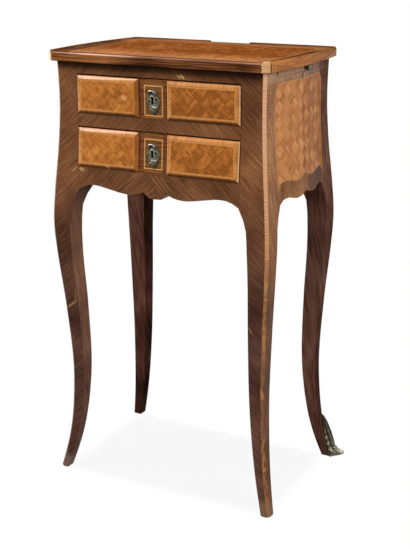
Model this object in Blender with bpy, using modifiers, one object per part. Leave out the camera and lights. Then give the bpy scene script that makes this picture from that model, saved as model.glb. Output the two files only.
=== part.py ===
"""Small two-drawer occasional table on cabriole legs.

Four sawn posts run from the foot to the top and carry shaped aprons, two drawers with raised
fronts and locks, a candle slide under the top at the right, and a lipped top with canted corners.
Metres, +Z up, the front faces -Y, the origin is on the floor under the middle of the table.
"""
import math

import bmesh
import bpy
import numpy as np
from mathutils import Matrix

for old_object in list(bpy.data.objects):
    bpy.data.objects.remove(old_object, do_unlink=True)

# Clearances
GLUE = 0.0003           # between faces that are glued or seated
RUN = 0.0008            # beside a sliding piece

# Carcass and legs
TABLE_HEIGHT = 0.7175   # floor to the field of the top
BODY_WIDTH = 0.366      # over the square of the posts
POST = 0.040            # post side, at the drawers
ARRIS = 0.0045          # canted outer corner of each post and leg
FOOT_EASE = 0.0015      # worn lower edge of the foot
FRAME_DEPTH = 0.030     # front rails, front to back
PANEL_THICK = 0.014     # side and back panels at the square of the body
SIDE_BOW = 0.008        # outward bow of the sides, in plan
TENON_LENGTH = 0.015
TENON_THICK = 0.007
TENON_SHOULDER = 0.003
TENON_INSET = 0.005     # tenon face behind the square of the body

# How far the outer corner stands out from the square of the body
SWELL_ABOVE_FLOOR = ((0.0, 0.0142), (0.050, 0.0040), (0.165, -0.0050), (0.300, 0.0009))
SWELL_BELOW_TOP = ((0.3055, 0.0090), (0.2655, 0.0110), (0.2055, 0.0079), (0.1355, 0.0018),
                   (0.0655, -0.0015), (0.0, -0.0004))

# How much further the feet stand out to the side and to the front or back, fading out at the knee
KNEE_DROP = 0.2655      # body top down to the knee
SPLAY_FRONT = (0.0046, -0.0068)
SPLAY_REAR = (0.0068, 0.0)

# Leg side below the aprons
LEG_ABOVE_FLOOR = ((0.0, 0.0154), (0.120, 0.0214), (0.265, 0.0272))
LEG_BELOW_TOP = ((0.2655, 0.0350), (0.2255, 0.0378))
SPRING_DROP = 0.2015    # body top down to where the aprons spring from the posts

# Front of the carcass, from the top down
TOP_RAIL = 0.0187
UPPER_OPENING = 0.0616
MID_RAIL = 0.0203
LOWER_OPENING = 0.0639

# Lower edges of the aprons: share of the half span, rise above the spring
PENDANT = ((0.0, -0.0022), (0.09, -0.0004), (0.15, 0.0072))
FRONT_LOBE = ((0.15, 0.0072), (0.22, 0.0030), (0.34, 0.0006), (0.60, 0.0054), (0.77, 0.0090),
              (0.90, 0.0070), (1.0, 0.0))
SIDE_LOBE = ((0.0, 0.0090), (0.10, 0.0050), (0.20, 0.0026), (0.40, 0.0014), (0.76, 0.0070), (0.90, 0.0055),
             (1.0, 0.0))

# Top
TOP_THICK = 0.012
SIDE_OVERHANG = 0.00775 # top beyond the square of the body, at the corners
END_OVERHANG = 0.0117   # front and back
TOP_BOW = 0.0105        # outward bow of the side edges, in plan
RIM = 0.010             # width of the edge mouldings
CORNER_LAND = 0.001     # moulding line left beside the canted corner
RIM_RISE = 0.0020       # front moulding above the field
LIP_RISE = 0.0040       # side lips above the field, at the front
BACK_LIP_RISE = 0.0024  # back lip above the field
LIP_WIDTH = 0.0055
LIP_GAP_LEFT = 0.038    # gap in the back lip, each side of the middle
LIP_GAP_RIGHT = 0.034
LIP_END_SLOPE = 0.002

# Drawers
FRONT_THICK = 0.018
FRONT_RECESS = 0.0010   # drawer front behind the face of the rails
TOP_PLAY = 0.002
SIDE_THICK = 0.009
SIDE_DROP = 0.003       # drawer sides below the top edge of the front
BACK_THICK = 0.008
BACK_DROP = 0.004       # drawer back below the sides
BOTTOM_THICK = 0.006
BOTTOM_RAISE = 0.006
GROOVE = 0.004
DRAWER_LENGTH = 0.208   # back of the front to the back end of the sides
END_PLAY = 0.0036       # behind the drawer, to the back panel
TAIL_LENGTH = 0.011
TAIL_WIDE = 0.016
TAIL_NARROW = 0.012

# Raised fields of the drawer fronts
BLOCK_MIDDLE = -0.0058  # middle of the plain centre block
BLOCK_WIDTH = 0.051
FIELD_RISE = 0.0046
FIELD_BEVEL = 0.0048    # width of the sloping edge
FIELD_EDGE = 0.0018     # thickness at the edge
FIELD_MARGIN = 0.0004

# Lock and escutcheon
LOCK_MIDDLE = -0.0070
LOCK_WIDTH = 0.040
LOCK_HEIGHT = 0.038
LOCK_DEPTH = 0.009
BOLT_WIDTH = 0.020
BOLT_THICK = 0.004
BOLT_HEIGHT = 0.020
BOLT_TRAVEL = 0.006
BOLT_NOTCH = 0.006
LOCK_PLAY = 0.0004
KEYHOLE_DROP = 0.0285   # top edge of the drawer front to the round of the keyhole
KEYHOLE_RADIUS = 0.0021
KEYHOLE_SLOT = 0.0024
KEYHOLE_LENGTH = 0.0084
SHIELD_THICK = 0.0022
SHIELD_WIDTH = 0.025
SHIELD_HEIGHT = 0.038

# Candle slide
SLIDE_PLAY = 0.0023     # beside the slide, to the posts
SLIDE_THICK = 0.0095
SLIDE_END_GAP = 0.056   # inner end of the board to the left panel
SLIDE_FACING = 0.008
SLIDE_TRAVEL = 0.150
SLIDE_LEDGE = 0.008
STOP_PEG_RADIUS = 0.003
STOP_PEG_LENGTH = 0.006
KNOB_RADIUS = 0.0042
KNOB_LENGTH = 0.0085

# Inside the carcass
RUNNER_THICK = 0.012
RUNNER_WIDTH = 0.025
STOP_WIDTH = 0.030
STOP_DEPTH = 0.008
STOP_HEIGHT = 0.004
STOP_FROM_POST = 0.053  # middle of a stop, inward of the post
GLUE_BLOCK = 0.016
GLUE_BLOCK_LENGTH = 0.040
GLUE_BLOCK_SPREAD = 0.045

# Bronze mount on the right rear foot
SABOT_HEIGHT = 0.078
SABOT_SPREAD = 0.0125   # reach along each face of the foot
SABOT_SIDE_REACH = 0.0198   # toe beyond the foot, to the right
SABOT_BACK_REACH = 0.0082   # toe beyond the foot, to the back
SABOT_EDGE = 0.0013
SABOT_CREST = 0.7       # share of the stand-off left at the sides of the crest
# Share of the height, share of the toe's reach, share of the spread
SABOT_STATIONS = ((0.006, 0.30, 1.0), (0.045, 0.86, 1.0), (0.085, 1.0, 1.0), (0.135, 0.84, 1.0),
                  (0.185, 0.46, 0.97), (0.38, 0.50, 0.90), (0.62, 0.46, 0.76), (0.84, 0.32, 0.58),
                  (1.0, 0.12, 0.40))

# Values worked out from the sizes above
BODY_TOP = TABLE_HEIGHT - TOP_THICK
FRONT_BACK = FRONT_RECESS + FRONT_THICK
BODY_DEPTH = FRONT_BACK + DRAWER_LENGTH + END_PLAY + PANEL_THICK
HALF_W = BODY_WIDTH / 2
HALF_D = BODY_DEPTH / 2
INNER_X = HALF_W - POST
INNER_Y = HALF_D - POST
SPRING = BODY_TOP - SPRING_DROP
UPPER_TOP = BODY_TOP - TOP_RAIL
UPPER_BASE = UPPER_TOP - UPPER_OPENING
LOWER_TOP = UPPER_BASE - MID_RAIL
LOWER_BASE = LOWER_TOP - LOWER_OPENING
FRAME_BACK = -HALF_D + FRAME_DEPTH
PANEL_INSIDE_X = HALF_W - PANEL_THICK
PANEL_INSIDE_Y = HALF_D - PANEL_THICK
SLIDE_TOP = BODY_TOP - RUN
SLIDE_BASE = SLIDE_TOP - SLIDE_THICK
SLIDE_HALF = INNER_Y - SLIDE_PLAY
KNEE = BODY_TOP - KNEE_DROP
HALF_TOP_W = HALF_W + SIDE_OVERHANG
HALF_TOP_D = HALF_D + END_OVERHANG
CANT = RIM - CORNER_LAND

parts = bpy.data.collections.new("occasional_table")
cutters = bpy.data.collections.new("cutters")
bpy.context.scene.collection.children.link(parts)
bpy.context.scene.collection.children.link(cutters)


def finish(name, colour, roughness, metallic=0.0):
    """A plain material of one colour."""
    material = bpy.data.materials.new(name)
    material.use_nodes = True
    shader = material.node_tree.nodes["Principled BSDF"]
    shader.inputs["Base Color"].default_value = (*colour, 1.0)
    shader.inputs["Roughness"].default_value = roughness
    shader.inputs["Metallic"].default_value = metallic
    material.diffuse_color = (*colour, 1.0)
    return material


KINGWOOD = finish("kingwood", (0.085, 0.036, 0.017), 0.38)
TULIPWOOD = finish("tulipwood", (0.40, 0.165, 0.055), 0.36)
BOXWOOD = finish("boxwood", (0.50, 0.29, 0.13), 0.40)
OAK = finish("oak", (0.29, 0.18, 0.09), 0.60)
BRONZE = finish("bronze", (0.16, 0.14, 0.085), 0.42, 1.0)
IRON = finish("iron", (0.10, 0.095, 0.09), 0.55, 1.0)


def smooth(stations, at):
    """Cubic curve through (place, value) stations, its slopes averaged from neighbouring chords."""
    place, value = np.array(stations, float).T
    step = np.diff(place)
    chord = np.diff(value) / step
    slope = np.empty_like(value)
    slope[1:-1] = (step[1:] * chord[:-1] + step[:-1] * chord[1:]) / (step[1:] + step[:-1])
    slope[0] = 1.5 * chord[0] - 0.5 * slope[1]
    slope[-1] = 1.5 * chord[-1] - 0.5 * slope[-2]
    at = np.asarray(at, float)
    i = np.clip(np.searchsorted(place, at) - 1, 0, len(step) - 1)
    t = (at - place[i]) / step[i]
    ends = (2 * t**3 - 3 * t**2 + 1) * value[i] + (3 * t**2 - 2 * t**3) * value[i + 1]
    return ends + step[i] * ((t**3 - 2 * t**2 + t) * slope[i] + (t**3 - t**2) * slope[i + 1])


def from_top(stations):
    """Stations measured down from the body top, as heights above the floor."""
    return tuple((BODY_TOP - drop, value) for drop, value in stations)


def swell(z):
    """How far the outer faces stand out from the square of the body at a height."""
    return smooth(SWELL_ABOVE_FLOOR + from_top(SWELL_BELOW_TOP), z)


def foot_splay(z):
    """Share of the feet's own splay at a height: all of it on the floor, none from the knee up."""
    return np.maximum(1 - np.asarray(z, float) / KNEE, 0.0) ** 1.15


def leg_side(z):
    """Side of the leg section: a post above the spring, a tapering leg below it."""
    spring = ((SPRING, POST + float(swell(SPRING))),)
    leg = smooth(LEG_ABOVE_FLOOR + from_top(LEG_BELOW_TOP) + spring, np.minimum(z, SPRING))
    return np.where(np.asarray(z) >= SPRING, POST + swell(z), leg)


def front_edge(share):
    """Height of the front apron's lower edge at a share of the half span."""
    share = np.abs(share)
    return SPRING + np.where(share <= PENDANT[-1][0], smooth(PENDANT, share), smooth(FRONT_LOBE, share))


def side_edge(share):
    """Height of the side apron's lower edge at a share of the half span."""
    return SPRING + smooth(SIDE_LOBE, np.abs(share))


def body_bow(y):
    """Outward bow of the carcass sides, in plan."""
    return SIDE_BOW * (1 - (y / INNER_Y) ** 2)


def empty(name, location, parent):
    """A point that carries pieces, such as the axis of a sliding group."""
    point = bpy.data.objects.new(name, None)
    point.location = location
    point.parent = parent
    point.empty_display_size = 0.03
    parts.objects.link(point)
    return point


table_centre = empty("table_centre", (0, 0, 0), None)


def add(name, bm, material, parent=table_centre):
    """Close a bmesh into a named object with its material."""
    bmesh.ops.recalc_face_normals(bm, faces=bm.faces)
    mesh = bpy.data.meshes.new(name)
    bm.to_mesh(mesh)
    bm.free()
    mesh.materials.append(material)
    piece = bpy.data.objects.new(name, mesh)
    piece.parent = parent
    parts.objects.link(piece)
    return piece


def loft(name, rings, material, parent=table_centre):
    """Skin over closed rings of equal count, with flat ends."""
    bm = bmesh.new()
    rows = [[bm.verts.new(point) for point in ring] for ring in rings]
    for row, following in zip(rows, rows[1:]):
        for k in range(len(row)):
            m = (k + 1) % len(row)
            bm.faces.new((row[k], row[m], following[m], following[k]))
    bm.faces.new(rows[0])
    bm.faces.new(rows[-1])
    return add(name, bm, material, parent)


def slab(name, outline, axis, start, end, material, parent=table_centre):
    """A flat outline carried along an axis from start to end."""
    bm = bmesh.new()
    corners = [bm.verts.new(np.insert(point, axis, start)) for point in outline]
    grown = bmesh.ops.extrude_face_region(bm, geom=[bm.faces.new(corners)])
    moved = [item for item in grown["geom"] if isinstance(item, bmesh.types.BMVert)]
    shift = np.insert(np.zeros(2), axis, end - start)
    bmesh.ops.translate(bm, verts=moved, vec=shift)
    return add(name, bm, material, parent)


def add_box(bm, low, high):
    """A box between two corners."""
    low = np.array(low, float)
    high = np.array(high, float)
    place = Matrix.Translation((low + high) / 2) @ Matrix.Diagonal((*(high - low), 1.0))
    bmesh.ops.create_cube(bm, size=1.0, matrix=place)


def box(name, low, high, material, parent=table_centre):
    """A plain rectangular piece."""
    bm = bmesh.new()
    add_box(bm, low, high)
    return add(name, bm, material, parent)


def cut_with(piece, cutter):
    """Take a cutter's shape out of a piece."""
    cutter.hide_render = True
    cutter.display_type = "WIRE"
    for owner in list(cutter.users_collection):
        owner.objects.unlink(cutter)
    cutters.objects.link(cutter)
    modifier = piece.modifiers.new(cutter.name, "BOOLEAN")
    modifier.operation = "DIFFERENCE"
    modifier.object = cutter


def cut_boxes(piece, label, boxes, parent=table_centre):
    """Take box-shaped mortises, grooves or housings out of a piece."""
    bm = bmesh.new()
    for low, high in boxes:
        add_box(bm, low, high)
    cut_with(piece, add(f"{piece.name}_{label}", bm, OAK, parent))


def grown_box(low, high, clearance):
    """A box with clearance added on every side."""
    return np.array(low, float) - clearance, np.array(high, float) + clearance


# Carcass: tenoned rails, aprons and panels
FACES = {
    "front": lambda s, d, z: np.column_stack((s, -HALF_D - d, z)),
    "back": lambda s, d, z: np.column_stack((s, HALF_D + d, z)),
    "left": lambda s, d, z: np.column_stack((-HALF_W - d, s, z)),
    "right": lambda s, d, z: np.column_stack((HALF_W + d, s, z)),
}
LEGS_AT = {
    "front": ("leg_front_left", "leg_front_right"),
    "back": ("leg_rear_left", "leg_rear_right"),
    "left": ("leg_front_left", "leg_rear_left"),
    "right": ("leg_front_right", "leg_rear_right"),
}
mortises = {leg: [] for pair in LEGS_AT.values() for leg in pair}


def carcass_piece(name, face, spans, lower, top, depth, rows, bow=None):
    """A rail, apron or panel between two posts, with a tenon at each end.

    Sections are taken across the span: the outer face follows the swell of the posts and the bow,
    the inner face is flat. Each tenon's mortise is noted for the leg that takes it.
    """
    levels = np.linspace(0, 1, rows)

    def section(span, z_low, z_high, outer, inner):
        z = z_low + (z_high - z_low) * levels
        across = np.full(rows, span)
        front = FACES[face](across, outer(z), z)
        back = FACES[face](across, np.full(rows, -inner), z)
        return np.vstack((front, back[::-1]))

    rings = []
    for span in spans:
        bulge = bow(span) if bow else 0.0
        rings.append(section(span, float(lower(span)), top, lambda z: swell(z) + bulge, depth))
    z_low = float(lower(spans[0])) + TENON_SHOULDER
    z_high = top - TENON_SHOULDER
    inner = TENON_INSET + TENON_THICK
    for sign, leg in zip((-1, 1), LEGS_AT[face]):
        root = spans[0] if sign < 0 else spans[-1]
        tip = root + sign * TENON_LENGTH
        tongue = [section(s, z_low, z_high, lambda z: np.full(rows, -TENON_INSET), inner)
                  for s in (root, tip)]
        rings = tongue[::-1] + rings if sign < 0 else rings + tongue
        corners = FACES[face](np.array((root - sign * GLUE, tip)), np.array((-inner, -TENON_INSET)),
                              np.array((z_low, z_high)))
        mortises[leg].append(grown_box(corners.min(axis=0), corners.max(axis=0), GLUE))
    return loft(name, rings, KINGWOOD)


def straight(height):
    """A level lower edge."""
    return lambda span: height


def spread(half, count, breaks=()):
    """Even stations over a span, with extra ones where its outline has a corner."""
    extra = [sign * half * share for share in breaks for sign in (-1, 1)]
    return np.unique(np.concatenate((np.linspace(-half, half, count), extra)))


rail_half = INNER_X - GLUE
side_half = INNER_Y - GLUE
CUSP = PENDANT[-1][0]
front_spans = spread(rail_half, 29, (CUSP,))
side_spans = spread(side_half, 21)


def front_lower(x):
    """Lower edge of the front and back aprons."""
    return front_edge(x / INNER_X)


def side_lower(y):
    """Lower edge of the side aprons."""
    return side_edge(y / INNER_Y)


RAIL_ENDS = (-rail_half, rail_half)
SEAT = BODY_TOP - GLUE
top_rail = carcass_piece("front_top_rail", "front", RAIL_ENDS, straight(UPPER_TOP), SEAT, FRAME_DEPTH, 4)
mid_rail = carcass_piece("front_mid_rail", "front", RAIL_ENDS, straight(LOWER_TOP), UPPER_BASE,
                         FRAME_DEPTH, 4)
carcass_piece("front_apron", "front", front_spans, front_lower, LOWER_BASE, FRAME_DEPTH, 5)
carcass_piece("back_panel", "back", front_spans, front_lower, SEAT, PANEL_THICK, 9)
carcass_piece("side_panel_left", "left", side_spans, side_lower, SEAT, PANEL_THICK, 10, body_bow)
slide_seat = SLIDE_BASE - GLUE
carcass_piece("side_panel_right", "right", side_spans, side_lower, slide_seat, PANEL_THICK, 10, body_bow)


# Legs: one sawn post each, from the floor to the top
leg_levels = np.concatenate((np.linspace(0, SPRING, 31), np.linspace(SPRING, SEAT, 9)[1:]))
leg_levels = np.insert(leg_levels, 1, FOOT_EASE)


def outer_corner(z, splay):
    """Where the two outer faces of a leg would meet at a height."""
    share = foot_splay(z)
    return HALF_W + swell(z) + share * splay[0], HALF_D + swell(z) + share * splay[1]


def leg_ring(z, side_x, side_y, splay, ease):
    """Square section with a canted outer corner, its outer faces on the swell of the body."""
    x, y = (float(value) - ease for value in outer_corner(z, splay))
    width = float(leg_side(z)) - 2 * ease
    plan = ((x - ARRIS, y), (x, y - ARRIS), (x, y - width), (x - width, y - width), (x - width, y))
    return [(side_x * px, side_y * py, z) for px, py in plan]


for leg_name, boxes in mortises.items():
    to_right = 1 if leg_name.endswith("right") else -1
    to_back = 1 if "rear" in leg_name else -1
    splay = SPLAY_REAR if "rear" in leg_name else SPLAY_FRONT
    eases = [FOOT_EASE] + [0.0] * (len(leg_levels) - 1)
    leg_rings = [leg_ring(z, to_right, to_back, splay, ease) for z, ease in zip(leg_levels, eases)]
    cut_boxes(loft(leg_name, leg_rings, KINGWOOD), "mortises", boxes)


# Bronze sabot: a leaf up the outer corner of the right rear foot, with a scrolled toe
def sabot_ring(share, standing, width):
    """Chevron section that hugs the canted corner, thicker where the leaf stands proud."""
    z = share * SABOT_HEIGHT
    x, y = (float(np.interp(z, leg_levels, line)) for line in outer_corner(leg_levels, SPLAY_REAR))
    reach = width * SABOT_SPREAD
    edge = SABOT_EDGE
    right = standing * SABOT_SIDE_REACH
    back = standing * SABOT_BACK_REACH
    crest_x = x - ARRIS + SABOT_CREST * right
    crest_y = y - ARRIS + SABOT_CREST * back
    plan = ((x + GLUE, y - reach), (x + GLUE, y - ARRIS), (x - ARRIS, y + GLUE), (x - reach, y + GLUE),
            (x - reach, y + edge), (crest_x, y + back), (x + right, crest_y), (x + edge, y - reach))
    return [(px, py, z) for px, py in plan]


sabot_rings = np.array([sabot_ring(*station) for station in SABOT_STATIONS])
loft("sabot_rear_right", sabot_rings, BRONZE)


# Inside the carcass: drawer runners, stops and glue blocks
def runner_plan(side):
    """A strip from the front rail to the back, widened between the posts to reach the side panel."""
    near = INNER_X - GLUE
    far = PANEL_INSIDE_X - GLUE
    free = near - RUNNER_WIDTH
    front = FRAME_BACK + GLUE
    back = PANEL_INSIDE_Y - GLUE
    post = INNER_Y - GLUE
    plan = ((free, front), (near, front), (near, -post), (far, -post), (far, post), (near, post),
            (near, back), (free, back))
    return [(side * x, y) for x, y in plan]


DRAWERS = {"upper": (UPPER_BASE, UPPER_OPENING, top_rail), "lower": (LOWER_BASE, LOWER_OPENING, mid_rail)}
SIDES = {"left": -1, "right": 1}
for tier, (base, opening, rail) in DRAWERS.items():
    for hand, side in SIDES.items():
        slab(f"{tier}_runner_{hand}", runner_plan(side), 2, base - RUNNER_THICK, base, OAK)
        middle = side * (INNER_X - STOP_FROM_POST)
        stop_front = -HALF_D + FRONT_BACK + GLUE
        box(f"{tier}_drawer_stop_{hand}", (middle - STOP_WIDTH / 2, stop_front, base + GLUE),
            (middle + STOP_WIDTH / 2, stop_front + STOP_DEPTH, base + STOP_HEIGHT), OAK)

for label, along in (("front", -GLUE_BLOCK_SPREAD), ("rear", GLUE_BLOCK_SPREAD)):
    block_side = -PANEL_INSIDE_X + GLUE
    block_plan = ((block_side, SEAT), (block_side + GLUE_BLOCK, SEAT), (block_side, SEAT - GLUE_BLOCK))
    slab(f"glue_block_left_{label}", block_plan, 1, along - GLUE_BLOCK_LENGTH / 2,
         along + GLUE_BLOCK_LENGTH / 2, OAK)


# Drawers
def keyhole(reach_front, reach_back, z, parent, name):
    """A round hole over a narrow slot, carried through whatever it cuts."""
    half = KEYHOLE_SLOT / 2
    lowest = math.asin(half / KEYHOLE_RADIUS)
    angles = np.linspace(-math.pi / 2 + lowest, 1.5 * math.pi - lowest, 15)
    outline = [(LOCK_MIDDLE + KEYHOLE_RADIUS * math.cos(a), z + KEYHOLE_RADIUS * math.sin(a)) for a in angles]
    foot = z - KEYHOLE_LENGTH
    outline += [(LOCK_MIDDLE - half, foot), (LOCK_MIDDLE + half, foot)]
    return slab(name, outline, 1, reach_front, reach_back, IRON, parent)


def raised_field(name, x_low, x_high, height, place, turn, parent):
    """A fielded panel: flat in the middle, with a sloping edge mitred at the corners."""
    rings = []
    for inset, depth in ((0.0, 0.0), (0.0, FIELD_EDGE), (FIELD_BEVEL, FIELD_RISE)):
        left = x_low + inset
        right = x_high - inset
        bottom = FIELD_MARGIN + inset
        top = height - FIELD_MARGIN - inset
        corners = ((left, bottom), (right, bottom), (right, top), (left, top))
        rings.append([(x, -GLUE - depth, z) for x, z in corners])
    field = loft(name, rings, TULIPWOOD, parent)
    field.location = place
    field.rotation_euler = (turn, 0, 0)


def shield(name, place, turn, parent):
    """A cast cartouche with an uneven scrolled outline and a rounded edge."""
    angle = np.linspace(0, 2 * math.pi, 41)[:-1]
    scroll = 1 + 0.06 * np.cos(3 * angle + 0.6) + 0.05 * np.cos(5 * angle - 0.8)
    rings = []
    for scale, depth in ((0.96, 0.0), (1.0, 0.4 * SHIELD_THICK), (0.84, SHIELD_THICK)):
        x = scale * scroll * np.cos(angle) * SHIELD_WIDTH / 2
        z = scale * scroll * np.sin(angle) * SHIELD_HEIGHT / 2
        rings.append(np.column_stack((x, np.full(len(angle), -GLUE - depth), z)))
    piece = loft(name, rings, BRONZE, parent)
    piece.location = place
    piece.rotation_euler = (turn, 0, 0)
    return piece


def tail_shape(centre, front, back, clearance):
    """Outline of one dovetail, wide at its tip."""
    wide = TAIL_WIDE / 2 + clearance
    narrow = TAIL_NARROW / 2 + clearance
    return [(back, centre + narrow), (front, centre + wide), (front, centre - wide), (back, centre - narrow)]


def make_drawer(tier, base, opening, rail):
    """One dovetailed drawer in its own frame: y from the square of the body, z from the opening."""
    slide = empty(f"{tier}_drawer_axis", (0, -HALF_D, base), table_centre)
    half = INNER_X - RUN
    height = opening - TOP_PLAY
    face_low = FRONT_RECESS - float(swell(base))
    face_high = FRONT_RECESS - float(swell(base + height))
    chord = math.hypot(face_high - face_low, height - GLUE)
    turn = -math.atan2(face_high - face_low, height - GLUE)

    def on_face(x, z):
        share = (z - GLUE) / (height - GLUE)
        return (x, face_low + share * (face_high - face_low), z)

    outline = [(face_low, GLUE), (FRONT_BACK, GLUE), (FRONT_BACK, height), (face_high, height)]
    front = slab(f"{tier}_drawer_front", outline, 0, -half, half, KINGWOOD, slide)

    side_top = height - SIDE_DROP
    bottom_top = GLUE + BOTTOM_RAISE + BOTTOM_THICK
    length_end = FRONT_BACK + DRAWER_LENGTH
    shoulder = FRONT_BACK + GLUE
    joint_room = side_top - bottom_top
    tails = [bottom_top + share * joint_room for share in (0.25, 0.75)]
    back_front = length_end - 2 * BACK_THICK
    groove_low = GLUE + BOTTOM_RAISE
    side_inside = half - SIDE_THICK
    groove_reach = side_inside + GROOVE

    for hand, side in SIDES.items():
        edge = [(shoulder, GLUE), (length_end, GLUE), (length_end, side_top), (shoulder, side_top)]
        for centre in tails[::-1]:
            edge += tail_shape(centre, FRONT_BACK - TAIL_LENGTH, shoulder, 0.0)
        board = slab(f"{tier}_drawer_side_{hand}", edge, 0, side * side_inside, side * half, OAK, slide)
        reach = sorted((side * (side_inside - GROOVE), side * groove_reach))
        groove = ((reach[0], shoulder - 2 * TAIL_LENGTH, groove_low - GLUE),
                  (reach[1], length_end + GROOVE, bottom_top + GLUE))
        housing = ((reach[0], back_front - GLUE, bottom_top + 2 * GLUE),
                   (reach[1], back_front + BACK_THICK + GLUE, side_top + GROOVE))
        cut_boxes(board, "groove", [groove], slide)
        cut_boxes(board, "housing", [housing], slide)
        for number, centre in enumerate(tails):
            socket = tail_shape(centre, FRONT_BACK - TAIL_LENGTH - GLUE, FRONT_BACK + GROOVE, GLUE)
            cutter = slab(f"{tier}_socket_{hand}_{number}", socket, 0, side * (side_inside - GLUE),
                          side * (half + GROOVE), OAK, slide)
            cut_with(front, cutter)

    tongue = groove_reach - GLUE
    box(f"{tier}_drawer_back", (-tongue, back_front, bottom_top + 3 * GLUE),
        (tongue, back_front + BACK_THICK, side_top - BACK_DROP), OAK, slide)
    box(f"{tier}_drawer_bottom", (-tongue, FRONT_BACK - GROOVE + GLUE, groove_low),
        (tongue, length_end, bottom_top), OAK, slide)
    cut_boxes(front, "groove", [((-tongue - GLUE, FRONT_BACK - GROOVE, groove_low - GLUE),
                                 (tongue + GLUE, FRONT_BACK + GROOVE, bottom_top + GLUE))], slide)

    lock_front = FRONT_BACK - LOCK_DEPTH
    lock_base = height - LOCK_HEIGHT
    lock_left = LOCK_MIDDLE - LOCK_WIDTH / 2
    lock_right = LOCK_MIDDLE + LOCK_WIDTH / 2
    case = box(f"{tier}_lock_case", (lock_left, lock_front, lock_base), (lock_right, FRONT_BACK, height),
               IRON, slide)
    cut_boxes(front, "lock_recess", [((lock_left - GLUE, lock_front - GLUE, lock_base - GLUE),
                                      (lock_right + GLUE, FRONT_BACK + GROOVE, height + GROOVE))], slide)

    bolt_middle = FRONT_BACK - LOCK_DEPTH / 2
    bolt_top = height - GLUE
    bolt_low = (LOCK_MIDDLE - BOLT_WIDTH / 2, bolt_middle - BOLT_THICK / 2, bolt_top - BOLT_HEIGHT)
    bolt_high = (LOCK_MIDDLE + BOLT_WIDTH / 2, bolt_middle + BOLT_THICK / 2, bolt_top)
    slot_low, slot_high = grown_box(bolt_low, bolt_high, LOCK_PLAY)
    slot_low[2] = height - KEYHOLE_DROP - KEYHOLE_LENGTH + KEYHOLE_RADIUS
    slot_high[2] = height + GROOVE
    cut_boxes(case, "bolt_slot", [(slot_low, slot_high)], slide)
    bolt_axis = empty(f"{tier}_lock_bolt_axis", (LOCK_MIDDLE, bolt_middle, bolt_top), slide)
    half_bolt = BOLT_WIDTH / 2
    half_notch = BOLT_NOTCH / 2
    bolt_edge = [(-half_bolt, 0), (-half_bolt, -BOLT_HEIGHT), (-half_notch, -BOLT_HEIGHT),
                 (-half_notch, BOLT_NOTCH - BOLT_HEIGHT), (half_notch, BOLT_NOTCH - BOLT_HEIGHT),
                 (half_notch, -BOLT_HEIGHT), (half_bolt, -BOLT_HEIGHT), (half_bolt, 0)]
    slab(f"{tier}_lock_bolt", bolt_edge, 1, -BOLT_THICK / 2, BOLT_THICK / 2, IRON, bolt_axis)
    mortise_low, mortise_high = grown_box(bolt_low, bolt_high, RUN)
    shift = np.array((0, -HALF_D, base))
    mortise_low[2] = height - GROOVE
    mortise_high[2] = bolt_top + BOLT_TRAVEL + RUN
    cut_boxes(rail, f"{tier}_bolt_mortise", [(mortise_low + shift, mortise_high + shift)])

    key_z = height - KEYHOLE_DROP
    plate = shield(f"{tier}_escutcheon", on_face(LOCK_MIDDLE, key_z - KEYHOLE_LENGTH / 2), turn, slide)
    hole = keyhole(face_low - FIELD_RISE - SHIELD_THICK, bolt_middle, key_z, slide, f"{tier}_keyhole")
    for drilled in (plate, front, case):
        cut_with(drilled, hole)

    start = on_face(0, GLUE)
    block_left = BLOCK_MIDDLE - BLOCK_WIDTH / 2
    block_right = BLOCK_MIDDLE + BLOCK_WIDTH / 2
    raised_field(f"{tier}_field_left", -half + FIELD_MARGIN, block_left, chord, start, turn, slide)
    raised_field(f"{tier}_field_right", block_right, half - FIELD_MARGIN, chord, start, turn, slide)


for tier, (base, opening, rail) in DRAWERS.items():
    make_drawer(tier, base, opening, rail)


# Candle slide: a board on two rebated bearers under the top, drawn out to the right by its knob
slide_level = (SLIDE_BASE + SLIDE_TOP) / 2
slide_axis = empty("candle_slide_axis", (HALF_W, 0, slide_level), table_centre)
slide_edge_y = np.linspace(-SLIDE_HALF, SLIDE_HALF, 13)
slide_edge_x = float(swell(slide_level)) + body_bow(slide_edge_y)
facing_x = slide_edge_x - SLIDE_FACING
inside_x = -HALF_W - PANEL_INSIDE_X + SLIDE_END_GAP
board_plan = [(inside_x, SLIDE_HALF), (inside_x, -SLIDE_HALF)] + list(zip(facing_x - GLUE, slide_edge_y))
facing_plan = list(zip(facing_x, slide_edge_y))[::-1] + list(zip(slide_edge_x, slide_edge_y))
slab("candle_slide_board", board_plan, 2, -SLIDE_THICK / 2, SLIDE_THICK / 2, OAK, slide_axis)
slab("candle_slide_facing", facing_plan, 2, -SLIDE_THICK / 2, SLIDE_THICK / 2, KINGWOOD, slide_axis)

wall = SLIDE_HALF + RUN
inner_wall = wall - SLIDE_LEDGE
bearer_base = UPPER_TOP + GLUE
for label, side, outer in (("front", -1, -FRAME_BACK - GLUE), ("rear", 1, PANEL_INSIDE_Y - GLUE)):
    bearer = ((outer, bearer_base), (outer, SEAT), (wall, SEAT), (wall, slide_seat), (inner_wall, slide_seat),
              (inner_wall, bearer_base))
    slab(f"slide_bearer_{label}", [(side * y, z) for y, z in bearer], 0, -rail_half, rail_half, OAK)

bm = bmesh.new()
peg_reach = PANEL_INSIDE_X - HALF_W - STOP_PEG_RADIUS - GLUE - SLIDE_TRAVEL
peg_place = Matrix.Translation((peg_reach, 0, -SLIDE_THICK / 2 - GLUE - STOP_PEG_LENGTH / 2))
bmesh.ops.create_cone(bm, cap_ends=True, segments=16, radius1=STOP_PEG_RADIUS, radius2=STOP_PEG_RADIUS,
                      depth=STOP_PEG_LENGTH, matrix=peg_place)
add("slide_stop_peg", bm, OAK, slide_axis)


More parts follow.
